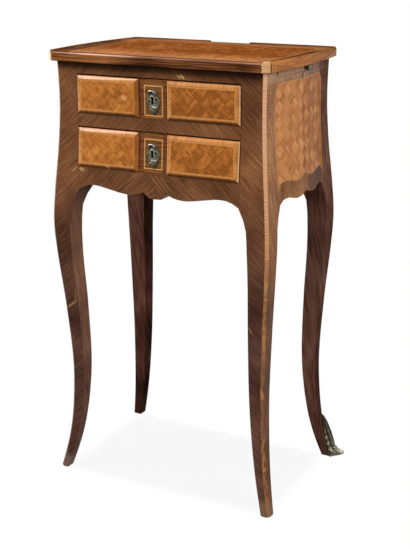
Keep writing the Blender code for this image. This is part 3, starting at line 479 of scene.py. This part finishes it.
# Raised fields of the drawer fronts: fielded panels in tulipwood, glued on. A band laid across the sloping edge,
# a line of pale stringing inside it, and basket parquetry on the flat.
# Tulipwood, polished: warm gold, with a sheen along the sloping edges that the left fields catch most.
EDGE_BAND = 0.0064             # width of the band round the weave
FIELD_STRING = 0.0015
HIGHLIGHT_EDGE = 0.0010           # strip at the ends with a painted highlight
DARK_EDGE = (0.0030, 0.0048)   # where the painted shade along the lower edge begins to fade, and where it ends
SECTIONS = 24.0                # pieces of the band to a metre
FIELDS = (("upper", "left", 0.0, (((-0.0555, -0.127, 0.6545), (0.0085, 0.006, 0.0060), 0.3, "#DDA672", 0.55),)),
          ("upper", "right", -0.14, ()),
          ("lower", "left", 0.03, (((-0.0850, -0.132, 0.5440), (0.0075, 0.012, 0.0026), 0.85, "#C49A62", 0.9),)),
          ("lower", "right", -0.10, ()))     # with the painted light on the weave, darker on the right, and the marks on it
for tier, hand, painted_light, marks in FIELDS:
    low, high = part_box(f"{tier}_field_{hand}")
    field, tree, shader = material(f"tulipwood_parquetry_{tier}_{hand}", 0.27)
    x, y, z = place(tree)
    off_x = wire(tree, "Math SUBTRACT", x, (low.x + high.x) / 2 - MIDDLE.x)
    off_z = wire(tree, "Math SUBTRACT", z, (low.z + high.z) / 2)
    in_x = wire(tree, "Math SUBTRACT", (high.x - low.x) / 2, wire(tree, "Math ABSOLUTE", off_x))
    in_z = wire(tree, "Math SUBTRACT", (high.z - low.z) / 2, wire(tree, "Math ABSOLUTE", off_z))
    inset = wire(tree, "Math MINIMUM", in_x, in_z)
    upright = wire(tree, "Math LESS_THAN", in_x, in_z)
    tone, joint, _ = basket(tree, x, z, block=0.0152, strips=4)
    patch = noise(tree, (x, y, z), 110.0, 3.0)
    # Painted light: each field's weave lighter or darker by its place, the right ones darker.
    tone = toned(tree, tone, (1.0, ease(tree, patch, 0.3, 0.7, -0.13, 0.13)), (painted_light,))
    joint = times(tree, joint, ease(tree, patch, 0.3, 0.7, 1.25, 0.6))
    weave = shades(tree, tone, (0.26, "#8A501E"), (0.50, "#AD682E"), (0.68, "#BB7834"), (0.86, "#CA8A45"))
    weave = lay(tree, weave, linear("#5E300E"), times(tree, joint, 0.95))

    run = choose(tree, upright, off_x, off_z)
    rise = choose(tree, upright, off_z, off_x)
    section = wire(tree, "Math FLOOR", times(tree, run, SECTIONS))
    section = wire(tree, "CombineXYZ", section, upright, wire(tree, "Math SIGN", rise))
    # The right edge of the left fields is darker: painted shade on the slope turned from the light.
    rightmost = times(tree, upright, wire(tree, "Math GREATER_THAN", off_x, 0.0))
    figure = toned(tree, grain(tree, rise, run, shift=7.0, fibre=0.0007, stripe=0.0035, run=0.03),
                   (0.10, wire(tree, "TexWhiteNoise", section)), (-0.22 if hand == "left" else 0.0, rightmost))
    band = shades(tree, figure, (0.36, "#8C5226"), (0.55, "#B3753C"), (0.76, "#CE9258"))
    base = lay(tree, band, weave, wire(tree, "Math GREATER_THAN", inset, EDGE_BAND))
    line = wire(tree, "Math COMPARE", inset, EDGE_BAND + FIELD_STRING / 2, FIELD_STRING / 2)
    base = lay(tree, base, linear("#CC9650"), times(tree, line, 0.4 if hand == "left" else 0.6))
    # A painted highlight along the outer ends: both on the right fields, only the left one on the left fields.
    painted_highlight = wire(tree, "Math LESS_THAN", in_x, HIGHLIGHT_EDGE)
    if hand == "left":
        painted_highlight = times(tree, painted_highlight, wire(tree, "Math LESS_THAN", off_x, 0.0))
    base = lay(tree, base, linear("#E6B88E"), times(tree, painted_highlight, 0.6))
    # Painted shade on the lower sloping edge, fading upward from it.
    lowest = times(tree, wire(tree, "Math LESS_THAN", off_z, 0.0),
                   ease(tree, wire(tree, "Math SUBTRACT", in_x, in_z), -0.001, 0.001))
    base = lay(tree, base, linear("#54301A"), times(tree, lowest, ease(tree, in_z, *DARK_EDGE, 0.75, 0.0)))
    for row in marks:
        base = mark(tree, base, *row)

    sheen = ease(tree, inset, 0.0050, 0.0062, 0.21 if hand == "left" else 0.06, 0.07)
    turned_off = wire(tree, "Math MAXIMUM", rightmost,
                      times(tree, lowest, wire(tree, "Math LESS_THAN", in_z, DARK_EDGE[1])))
    sheen = times(tree, sheen, ease(tree, turned_off, 0.0, 1.0, 1.0, 0.1))
    coat(tree, shader, base, toned(tree, figure, (-0.5, joint)), gloss=sheen)
    dress(field, 0.0005, f"{tier}_field_{hand}")


# Locks: filed iron cases let into the backs of the drawer fronts, each with a bolt that rises into the rail.
# The iron gives a dark grey with file marks and brown bloom.
iron, tree, shader = material("iron_filed", metallic=1.0)
x, y, z = place(tree)
filed = grain(tree, x, z, shift=2.0, fibre=0.0006, stripe=0.004, run=0.02)
rust = noise(tree, (x, y, z), 160.0, 3.0)
colour = shades(tree, rust, (0.40, "#5A5650"), (0.55, "#4C4843"), (0.68, "#6A4A34"))
coat(tree, shader, colour, filed, strength=0.2, depth=0.0003, roughness=ease(tree, rust, 0.4, 0.7, 0.42, 0.75))
dress(iron, 0.0003, "upper_lock_case", "lower_lock_case", "upper_lock_bolt", "lower_lock_bolt")


# Escutcheons: cast and chased bronze plates in a lopsided shell form, pinned over the keyholes. A scroll arches
# over the upper left, a collar rings the keyhole, and leaves run round the right and the foot.
def skin(name, points, finish, worn=None, caps=True):
    """A closed mesh over rings of points, an array of (along, around, xyz), joined round each ring.

    With caps the first and last rings are filled, and otherwise the last ring joins the first.
    """
    count, ring = points.shape[:2]
    rows = np.arange(count - 1 if caps else count)[:, None]
    here = rows * ring + np.arange(ring)
    beside = rows * ring + (np.arange(ring) + 1) % ring
    step = ((rows + 1) % count - rows) * ring
    faces = np.stack((here, beside, beside + step, here + step), axis=-1).reshape(-1, 4).tolist()
    if caps:
        faces += [list(range(ring))[::-1], list(range((count - 1) * ring, count * ring))]
    mesh = bpy.data.meshes.new(name)
    mesh.from_pydata(points.reshape(-1, 3).tolist(), [], faces)
    if worn is not None:
        mesh.attributes.new("worn", "FLOAT", "POINT").data.foreach_set("value", worn.ravel())
    mesh.polygons.foreach_set("use_smooth", np.ones(len(faces), bool))
    mesh.materials.append(finish)
    piece = bpy.data.objects.new(name, mesh)
    bpy.context.scene.collection.objects.link(piece)
    return piece


def corners(name):
    """The points of a solid, a row of x, y and z each."""
    mesh = nodes[name].data
    points = np.empty(len(mesh.vertices) * 3)
    mesh.vertices.foreach_get("co", points)
    return points.reshape(-1, 3)


def ridge(distance, width):
    """A rounded ridge: one on its crest, falling off as a bell over its width."""
    return np.exp(-(distance / width) ** 2)


# Patinated bronze: grey-green on the crests where the gilding wore off, lighter where highlights are painted on,
# nearly black in the hollows.
bronze, tree, shader = material("bronze_patinated", metallic=1.0)
x, y, z = place(tree)
speck = noise(tree, (x, y, z), 520.0, 3.0)
patina_and_highlight = toned(tree, wire(tree, "Attribute", out="Fac", attribute_name="worn"), (0.5, speck))
colour = shades(tree, patina_and_highlight, (0.18, "#171612"), (0.36, "#38352B"), (0.56, "#625C4D"), (0.80, "#969082"),
                (0.95, "#CAC8B8"))
coat(tree, shader, colour, speck, strength=0.2, depth=0.0002, roughness=ease(tree, patina_and_highlight, 0.2, 0.9, 0.6, 0.36))

# All of the plate in millimetres from the middle of the keyhole's round, to the right and upward.
KEY_ROUND = 2.1
KEY_SLOT = 1.2               # half width of the slot
KEY_FOOT = 8.4               # its end below the round
PLATE_HALF = (11.5, 18.9)
PLATE_SHIFT = (0.9, -5.2)
PLATE_OFF = 0.0003           # its back from the drawer front, in metres
SCROLL = (-2.2, 6.4)         # middle of the arching scroll
LOOP = (3.2, -5.6)           # middle of the leaf loop at the right
FAN = (0.6, -8.0)            # root of the fluted leaf at the foot
BEADS = ((-8.6, 2.4, 1.5), (6.4, 10.3, 2.3), (6.6, -5.2, 1.2), (6.5, -9.0, 1.2), (5.4, -14.3, 1.7),
         (2.2, -18.5, 1.7), (-2.8, -16.9, 1.7), (0.2, -12.3, 1.2), (-9.2, -4.6, 1.2), (-7.0, -1.2, 1.2))


def cast_plate(name, drawer, finish):
    """Chased relief on a ring-shaped grid, from the keyhole's edge to the scalloped outline.

    Heights in millimetres are sums of bell-shaped ridges along arcs, a collar and fluted leaves.
    """
    points = corners(f"{drawer}_front")
    bottom = points[points[:, 2] < points[:, 2].min() + 1e-4][:, 1].min()
    top = points[points[:, 2] > points[:, 2].max() - 1e-4][:, 1].min()
    tilt = math.atan2(top - bottom, np.ptp(points[:, 2]))
    case_low, case_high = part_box(name.replace("escutcheon", "lock_case"))
    key_x = (case_low.x + case_high.x) / 2
    key_z = case_high.z - KEY_DROP

    # The keyhole's edge, the scalloped oval, and the grid between them.
    angle = np.linspace(0, 2 * math.pi, 240, endpoint=False)
    cos, sin = np.cos(angle), np.sin(angle)
    down = np.minimum(KEY_SLOT / np.maximum(np.abs(cos), 1e-6), KEY_FOOT / np.maximum(np.abs(sin), 1e-6))
    inner = np.where(sin < 0, np.maximum(KEY_ROUND, down), KEY_ROUND)
    scallop = 1 + 0.030 * np.cos(9 * angle + 0.5) + 0.045 * np.cos(4 * angle - 0.6) + 0.022 * np.cos(14 * angle)
    scallop -= 0.10 * ridge(angle - 0.52, 0.20)
    oval_x = PLATE_HALF[0] * np.sign(cos) * np.abs(cos) ** 0.74 * scallop + PLATE_SHIFT[0]
    oval_z = PLATE_HALF[1] * np.sign(sin) * np.abs(sin) ** 0.82 * scallop + PLATE_SHIFT[1]
    oval_x += np.where(cos < 0, 0.20 * np.maximum(-oval_z - 6.0, 0.0), 0.0)
    share = np.linspace(0, 1, 60)[:, None]
    px = inner * cos * (1 - share) + oval_x * share
    pz = inner * sin * (1 - share) + oval_z * share

    # Scroll and loop are ridges along part of an ellipse, the collar one along the keyhole.
    to_key = np.hypot(px, np.maximum(np.abs(pz + KEY_FOOT / 2) - KEY_FOOT / 2, 0.0))
    collar = ridge(to_key - 3.6, 1.1)
    bearing = np.mod(np.arctan2(pz - SCROLL[1], px - SCROLL[0]) + 0.5, 2 * math.pi)
    arch = ridge(np.hypot((px - SCROLL[0]) / 1.22, pz - SCROLL[1]) - 5.2, 1.2)
    arch *= np.clip((bearing - 0.3) / 0.8, 0, 1) * np.clip((4.0 - bearing) / 0.5, 0, 1)
    bearing = np.arctan2(pz - LOOP[1], px - LOOP[0])
    loop = ridge(np.hypot((px - LOOP[0]) / 0.98, pz - LOOP[1]) - 8.3, 1.3)
    loop *= np.clip((1.3 - bearing) / 0.3, 0, 1) * np.clip((bearing + 2.3) / 0.4, 0, 1)
    flute = 0.5 + 0.5 * np.cos(8 * np.arctan2(px - FAN[0], FAN[1] - pz) + 0.6)
    hollow = ridge(np.hypot((px + 2.4) / 2.2, pz - 7.7), 1.4) + 0.7 * ridge(np.hypot(px - 5.8, pz + 1.9), 1.3)
    hollow += 0.6 * ridge(np.hypot(px + 4.7, pz + 3.9), 1.2)
    height = 0.9 + 1.9 * arch + 1.1 * loop + 1.4 * collar * np.clip((pz + 9.0) / 6.0, 0.3, 1)
    height += 0.8 * ridge(np.hypot(px - 0.6, (pz + 16.0) / 1.3), 5.0) * flute
    height += 0.6 * ridge(px + 7.6 + 0.16 * pz, 1.5) * np.clip((3.0 - pz) / 3.0, 0, 1)
    for bead_x, bead_z, size in BEADS:
        height += 0.8 * ridge(np.hypot(px - bead_x, pz - bead_z), size)
    height -= 0.9 * hollow
    # Crests pale where the gilding is gone, a painted highlight on the scroll and the collar, and dark patina in
    # the hollows.
    worn = np.clip(0.20 * height - 0.06 + 0.15 * arch + 0.10 * collar - 0.35 * hollow, 0, 0.66)
    height *= np.clip((1 - share) / 0.06, 0.25, 1) * np.clip((share + 0.02) / 0.05, 0, 1)

    # Two more rings close the plate behind, a hair in front of the drawer.
    flat = np.zeros_like(px[:1])
    px = np.vstack((px, px[-1:], px[:1]))
    pz = np.vstack((pz, pz[-1:], pz[:1]))
    height = np.vstack((height, flat, flat))
    worn = np.vstack((worn, flat, flat))
    face = bottom + (key_z - points[:, 2].min()) * math.tan(tilt) - PLATE_OFF
    out = np.stack((key_x + px / 1000,
                    face - height / 1000 * math.cos(tilt) + pz / 1000 * math.sin(tilt),
                    key_z + pz / 1000 * math.cos(tilt) + height / 1000 * math.sin(tilt)), axis=-1)
    plate = skin(f"{name}_cast", out, finish, worn, caps=False)
    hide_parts(name)
    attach(plate, drawer)


cast_plate("upper_escutcheon", "upper_drawer", bronze)
cast_plate("lower_escutcheon", "lower_drawer", bronze)


# Candle slide: an oak board under the top, faced with kingwood at the right and drawn out by a turned bronze knob.
dress(kingwood, 0.0003, "candle_slide_facing")
# Turned bronze: greener and brighter than the castings, with a sharp gleam.
turned, tree, shader = material("bronze_turned", 0.28, metallic=1.0)
speck = noise(tree, place(tree), 400.0, 2.0)
coat(tree, shader, shades(tree, speck, (0.35, "#1A2018"), (0.65, "#4E5648")))
dress(turned, 0.0002, "slide_knob")


# Top: a board with parquetry inside a border of kingwood, edge mouldings of stained walnut all round, and blocks
# let into the canted corners. Only the right front block is pale.
# Tulipwood and kingwood, dulled to a matt finish: red-brown, with painted light that makes it lighter towards the
# front.
TOP_BORDER = 0.020
TOP_STRING = 0.0014
half_x = (top_high.x - top_low.x) / 2
half_y = (top_high.y - top_low.y) / 2
field, tree, shader = material("tulipwood_parquetry_top", 0.45, gloss=0.0)
x, y, z = place(tree)
in_x = wire(tree, "Math SUBTRACT", half_x, wire(tree, "Math ABSOLUTE", x))
in_y = wire(tree, "Math SUBTRACT", half_y, wire(tree, "Math ABSOLUTE", y))
inset = wire(tree, "Math MINIMUM", in_x, in_y)
upright = wire(tree, "Math LESS_THAN", in_x, in_y)
tone, joint, _ = basket(tree, x, y, block=0.0168, strips=4)
cloud = noise(tree, (x, y, z), 16.0, 2.0)
# Painted light: lighter towards the front, darker behind.
tone = toned(tree, tone, (1.0, ease(tree, cloud, 0.3, 0.7, -0.09, 0.09)),
             (1.0, ease(tree, y, -0.09, -0.02, 0.06, -0.11)))
weave = shades(tree, tone, (0.36, "#763F1A"), (0.52, "#93552A"), (0.68, "#AB6838"), (0.86, "#C37E4A"))
weave = lay(tree, weave, linear("#613312"), times(tree, joint, 0.6))
# A painted sheen along the front.
weave = lay(tree, weave, linear("#B08058"), ease(tree, y, -0.12, -0.03, 0.45, 0.0))
run = choose(tree, upright, x, y)
rise = choose(tree, upright, y, x)
figure = grain(tree, rise, run, shift=11.0, fibre=0.0008, stripe=0.0045, run=0.03)
border = shades(tree, figure, (0.36, "#3C2216"), (0.52, "#5E3824"), (0.66, "#7C523A"))
border = lay(tree, border, linear("#94663F"), ease(tree, y, 0.06, 0.10, 0.0, 0.75))
base = lay(tree, border, weave, wire(tree, "Math GREATER_THAN", inset, TOP_BORDER))
line = wire(tree, "Math COMPARE", inset, TOP_BORDER + TOP_STRING / 2, TOP_STRING / 2)
coat(tree, shader, lay(tree, base, linear("#B98646"), line), figure)
dress(field, 0.0003, "top_board")

# Stained walnut: mid brown, almost black along the front, with a painted highlight along its upper arris and at
# the left front corner, and painted shade on the inner faces of the lips.
RIM_WIDTH = 0.012
rim_low, rim_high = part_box("rim_front")
walnut, tree, shader = material("walnut_moulding")
x, y, z = place(tree)
facing, to_side, to_end = outward(tree, x, y)
lengthwise = wire(tree, "Math GREATER_THAN", wire(tree, "Math ABSOLUTE", x), half_x - RIM_WIDTH)
run = choose(tree, lengthwise, x, y)
rise = wire(tree, "Math ADD", choose(tree, lengthwise, y, x), z)
cloud = noise(tree, (x, y, z), 14.0, 2.0)
on_front = wire(tree, "Math LESS_THAN", facing[1], -0.5)
figure = toned(
    tree, -0.09, (1.1, grain(tree, run, rise, shift=5.0, fibre=0.0009, stripe=0.004, run=0.06)), (0.18, cloud),
    # the right moulding is paler, most at its front
    (1.0, ease(tree, x, 0.15, 0.19), ease(tree, y, -0.12, -0.05, 0.13, 0.06)),
    # the front one is darkest left of the middle and at the right end, and paler along its foot
    (1.0, on_front, ease(tree, x, -0.08, -0.01, -0.07, -0.18)), (0.12, on_front, ease(tree, x, 0.0, 0.10)),
    (-0.10, on_front, ease(tree, x, 0.11, 0.15)),
    (0.05, on_front, ease(tree, z, rim_low.z + 0.002, rim_low.z + 0.007, 1.0, 0.0)))
base = shades(tree, figure, (0.36, "#321C0E"), (0.46, "#5D351B"), (0.55, "#7E4E2B"), (0.70, "#B07240"))
# Painted shade on the inner faces of the lips, least at the back, and a darker purple-brown on the top faces.
inward = wire(tree, "Math LESS_THAN", wire(tree, "Math MINIMUM", to_side, to_end), -0.5)
shade_and_stain = ease(tree, y, 0.08, 0.11, 0.55, 0.1)
base = lay(tree, base, linear("#2E1A10"), times(tree, inward, shade_and_stain))
base = lay(tree, base, linear("#5A3426"), times(tree, shade_and_stain, ease(tree, facing[2], 0.80, 0.95, 0.0, 0.8)))
# A painted highlight along the upper arris of the front moulding, brightest left of the middle.
painted_highlight = times(tree, ease(tree, z, rim_high.z - 0.0024, rim_high.z - 0.0014),
               wire(tree, "Math LESS_THAN", facing[1], -0.2), wire(tree, "Math LESS_THAN", y, 0.0),
               wire(tree, "Math MINIMUM", ease(tree, x, -0.17, -0.11, 0.45, 0.85),
                    ease(tree, x, -0.10, 0.02, 0.85, 0.25)),
               ease(tree, cloud, 0.40, 0.55, 0.35, 1.0))
base = lay(tree, base, linear("#CBA58E"), painted_highlight)
# A painted highlight on the left-facing face of the left front corner.
corner_highlight = times(tree, wire(tree, "Math LESS_THAN", facing[0], -0.35),
               wire(tree, "Math LESS_THAN", wire(tree, "Math ADD", x, y), RIM_WIDTH - half_x - half_y))
base = lay(tree, base, linear("#DDBB92"), times(tree, corner_highlight, 0.85))
matt = wire(tree, "Math MAXIMUM", inward, wire(tree, "Math GREATER_THAN", facing[2], 0.3))
coat(tree, shader, base, figure, strength=0.05, roughness=ease(tree, cloud, 0.3, 0.7, 0.30, 0.48),
     gloss=ease(tree, matt, 0.0, 1.0, 0.02, 0.0))
dress(walnut, 0.0006, "rim_front", "rim_left", "rim_right", "rim_rear", "corner_block_front_left",
      "corner_block_rear_left", "corner_block_rear_right")

# Boxwood: pale straw, close-grained and nearly matt.
boxwood, tree, shader = material("boxwood_block", 0.45, gloss=0.2)
x, y, z = place(tree)
figure = grain(tree, wire(tree, "Math ADD", x, y), z, shift=9.0, fibre=0.0007, stripe=0.003, run=0.02)
base = shades(tree, figure, (0.36, "#9C6E46"), (0.5, "#BF9260"), (0.64, "#D8AC7A"))
coat(tree, shader, base, figure, strength=0.12, depth=0.0003)
dress(boxwood, 0.0008, "corner_block_front_right")


# Sabot: a cast bronze leaf up the outer corner of the right rear foot, ending in a scrolled toe. The other three
# have been lost.
def reach_of(points, along, out):
    """The places along one axis where a solid has points, and how far out along another it reaches at each."""
    spots = np.unique(points[:, along].round(5))
    return spots, np.array([points[np.abs(points[:, along] - spot) < 1e-4][:, out].max() for spot in spots])


_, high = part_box("sabot_rear_right")
SABOT_HEIGHT = high.z
SPREAD = 0.0150              # half width of the leaf at its foot
CANT = 0.0045                # width of the leg's canted corner along each axis
STAND_OFF = 0.0003           # of its back from the leg
CASTING = 0.0012             # thickness of the leaf
RIB = 0.0010                 # height of the middle rib
VEINS = 0.0006               # and of the veins beside it
TOE = 0.085                  # the toe's level, as a share of the height
TOE_INSET = 0.0002           # its crest kept inside the plain solid's
# How far the leaf stands out at shares of its height, as a share of the toe's reach.
CREST = ((0.0, 0.25), (0.03, 0.62), (0.06, 0.88), (0.09, 0.97), (0.125, 0.92), (0.155, 0.66), (0.18, 0.44),
         (0.21, 0.54), (0.235, 0.40), (0.38, 0.44), (0.62, 0.40), (0.84, 0.28), (1.0, 0.08))
foot = corners("leg_rear_right")
foot = foot[foot[:, 2] < 0.2]
levels, corner_x = reach_of(foot, 2, 0)
levels, corner_y = reach_of(foot, 2, 1)
# A strip wrapped round the corner. It stands out by its crest times a rounded profile across it, and carries
# veins, a cosine fanning out from the middle, and a bell-shaped rib.
share = np.linspace(0.006, 1, 110)[:, None]
wide = np.linspace(-1, 1, 61)[None, :]
level = share * SABOT_HEIGHT + 0 * wide
spread = SPREAD * np.interp(share, (0, 0.19, 0.5, 0.84, 1.0), (1.0, 1.0, 0.84, 0.52, 0.24))
spread = spread * (1 + 0.10 * np.cos(2 * math.pi * 6.5 * share))
side = np.clip(-wide, 0, 1) * (spread - CANT / 2)
rear = np.clip(wide, 0, 1) * (spread - CANT / 2)
flat_x = np.interp(level, levels, corner_x) - CANT / 2 - rear + np.minimum(side, CANT / 2)
flat_y = np.interp(level, levels, corner_y) - CANT / 2 - side + np.minimum(rear, CANT / 2)
lean = np.clip(-wide * 2.2, -1, 1) * math.pi / 4
out_x = np.cos(math.pi / 4 - lean)
out_y = np.sin(math.pi / 4 - lean)
stand = np.interp(share, *zip(*CREST)) * (1 - np.abs(wide) ** 1.6) ** 1.2
vein = np.cos(2 * math.pi * (2.6 * np.abs(wide) ** 0.8 - 0.9 * share))
rib = ridge(np.abs(wide), 0.09)
relief = (VEINS * vein * (1 - rib) + RIB * rib) * np.clip(share / 0.2, 0, 1) * np.clip((1 - share) / 0.1, 0.2, 1)
toe = ridge(share - 0.11, 0.05) * ridge(wide, 0.5)
worn = np.clip(0.26 - 0.20 * share + 260 * relief + 0.42 * toe, 0, 0.7)
reach_x = high.x - np.interp(TOE * SABOT_HEIGHT, levels, corner_x) - TOE_INSET
reach_y = high.y - np.interp(TOE * SABOT_HEIGHT, levels, corner_y) - TOE_INSET
along_x = reach_x * stand * out_x / math.sqrt(0.5) + (CASTING + relief) * out_x
along_y = reach_y * stand * out_y / math.sqrt(0.5) + (CASTING + relief) * out_y
face = np.stack((flat_x + STAND_OFF + along_x, flat_y + STAND_OFF + along_y, level), axis=-1)
seat = np.stack((flat_x + STAND_OFF * out_x, flat_y + STAND_OFF * out_y, level), axis=-1)
rings = np.concatenate((face, seat[:, ::-1]), axis=1)
sabot = skin("sabot_leaf", rings, bronze, np.concatenate((worn, 0 * worn), axis=1))
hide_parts("sabot_rear_right")
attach(sabot, "carcass")


# Pins: small iron brads, punched in and left dark, that hold the right edge moulding. Each head is a low dome
# of four rings that follows the bow of the moulding.
PIN_PLACES = ((-0.1175, 0.7143), (-0.1067, 0.7138), (-0.0840, 0.7150), (-0.0505, 0.7140), (0.0069, 0.7150),
              (0.0608, 0.7150))      # from the middle of the table, and above the floor
PIN_RADII = (0.00120, 0.00118, 0.0007, 0.0001)
PIN_STANDS = (-0.0010, 0.00010, 0.00022, 0.00026)     # of each ring above the moulding
dark, tree, shader = material("iron_brad", 0.6, metallic=1.0)
coat(tree, shader, shades(tree, noise(tree, place(tree), 900.0, 2.0), (0.3, "#120B06"), (0.7, "#3A2416")))
rim_y, rim_x = reach_of(corners("rim_right"), 1, 0)
angle = np.linspace(0, 2 * math.pi, 20, endpoint=False)
for number, (spot, level) in enumerate(PIN_PLACES):
    beside = spot + MIDDLE.y + np.array(PIN_RADII)[:, None] * np.cos(angle)
    above = level + np.array(PIN_RADII)[:, None] * np.sin(angle)
    stands = np.interp(beside, rim_y, rim_x) + np.array(PIN_STANDS)[:, None]
    pin = skin(f"moulding_pin_{number + 1}", np.stack((stands, beside, above), axis=-1), dark)
    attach(pin, "carcass")


# Studio: a white floor with a faint flat painted shadow between the feet, a white surround, five soft lamps and
# the
# photograph's camera. Floor and surround look white, but light the table less than they look.
def looked_at(tree):
    """One for rays of the eye and of reflections, zero for those that light the pieces."""
    rays = wire(tree, "LightPath").node.outputs
    mirrored = wire(tree, "Math MAXIMUM", rays["Is Glossy Ray"], rays["Is Transmission Ray"])
    return wire(tree, "Math MAXIMUM", rays["Is Camera Ray"], mirrored)


FLOOR = 6.0
SHADOW_HALF = (0.200, 0.128)
WHITE = (1.0, 1.0, 1.0, 1.0)
floor_mesh = bpy.data.meshes.new("studio_floor")
floor_mesh.from_pydata([(-FLOOR, -FLOOR, 0), (FLOOR, -FLOOR, 0), (FLOOR, FLOOR, 0), (-FLOOR, FLOOR, 0)], [],
                       [(0, 1, 2, 3)])
floor = bpy.data.objects.new("studio_floor", floor_mesh)
bpy.context.scene.collection.objects.link(floor)
paper = bpy.data.materials.new("studio_paper")
paper.use_nodes = True
tree = paper.node_tree
tree.nodes.clear()
x, y, z = place(tree)
apart = wire(tree, "Math MAXIMUM", wire(tree, "Math DIVIDE", wire(tree, "Math ABSOLUTE", x), SHADOW_HALF[0]),
             wire(tree, "Math DIVIDE", wire(tree, "Math ABSOLUTE", y), SHADOW_HALF[1]))
# The floor glows a little less between the feet: a painted shadow.
glow = times(tree, looked_at(tree), ease(tree, apart, 0.88, 1.02, 0.92, 1.0))
wire(tree, "OutputMaterial", wire(tree, "MixShader", glow, wire(tree, "BsdfDiffuse", linear("#707070")),
                                  wire(tree, "Emission", WHITE, 1.0)))
floor_mesh.materials.append(paper)
floor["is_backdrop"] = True

world = bpy.data.worlds.new("studio")
world.use_nodes = True
bpy.context.scene.world = world
tree = world.node_tree
tree.nodes.clear()
wire(tree, "OutputWorld", wire(tree, "Background", WHITE, choose(tree, looked_at(tree), 0.16, 1.0)))


def lamp(name, power, size, spot, aim):
    """A square soft lamp at a spot, turned to an aim."""
    data = bpy.data.lights.new(name, "AREA")
    data.energy = power
    data.size = size
    made = bpy.data.objects.new(name, data)
    bpy.context.scene.collection.objects.link(made)
    away = np.array(spot, float) - np.array(aim, float)
    away /= np.linalg.norm(away)
    level = np.cross((0, 0, 1), away)
    level /= np.linalg.norm(level)
    turn = np.column_stack((level, np.cross(away, level), away))
    made.matrix_world = Matrix.Translation(spot) @ Matrix(turn.tolist()).to_4x4()


lamp("key_upper_left", 58.0, 0.85, (-1.38, -1.20, 1.92), (0, 0, 0.5))
lamp("fill_right", 36.0, 1.0, (1.9, -0.7, 1.3), (0, 0, 0.5))
lamp("fill_front", 6.0, 1.0, (-0.1, -2.4, 1.5), (0, 0, 0.45))
lamp("top", 8.0, 1.0, (0.1, -0.1, 2.3), (0, 0, 0.6))
lamp("fill_back", 16.0, 1.2, (0.3, 2.3, 1.3), (0, 0, 0.5))

# Camera, fitted to the edges of the table in the photograph.
AZIMUTH = math.radians(28.075)
ELEVATION = math.radians(17.257)
ROLL = math.radians(-0.223)
CAMERA_SPOT = (0.86592, -1.59047, 0.90719)   # from the middle of the floor under the table
FOCAL = 1125.5                               # in pixels of the photograph
PHOTO_HEIGHT = 549.0
SENSOR = 36.0
back = np.array((math.sin(AZIMUTH) * math.cos(ELEVATION), -math.cos(AZIMUTH) * math.cos(ELEVATION),
                 math.sin(ELEVATION)))
level = np.array((math.cos(AZIMUTH), math.sin(AZIMUTH), 0.0))
upward = np.cross(back, level)
right = math.cos(ROLL) * level + math.sin(ROLL) * upward
above = -math.sin(ROLL) * level + math.cos(ROLL) * upward
lens = bpy.data.cameras.new("photo_camera")
lens.sensor_width = SENSOR
lens.lens = FOCAL * SENSOR / PHOTO_HEIGHT
camera = bpy.data.objects.new("photo_camera", lens)
bpy.context.scene.collection.objects.link(camera)
turn = Matrix(np.column_stack((right, above, back)).tolist()).to_4x4()
spot = (CAMERA_SPOT[0] + MIDDLE.x, CAMERA_SPOT[1] + MIDDLE.y, CAMERA_SPOT[2])
camera.matrix_world = Matrix.Translation(spot) @ turn
bpy.context.scene.camera = camera
bpy.context.scene.view_settings.view_transform = "Standard"

low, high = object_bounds()
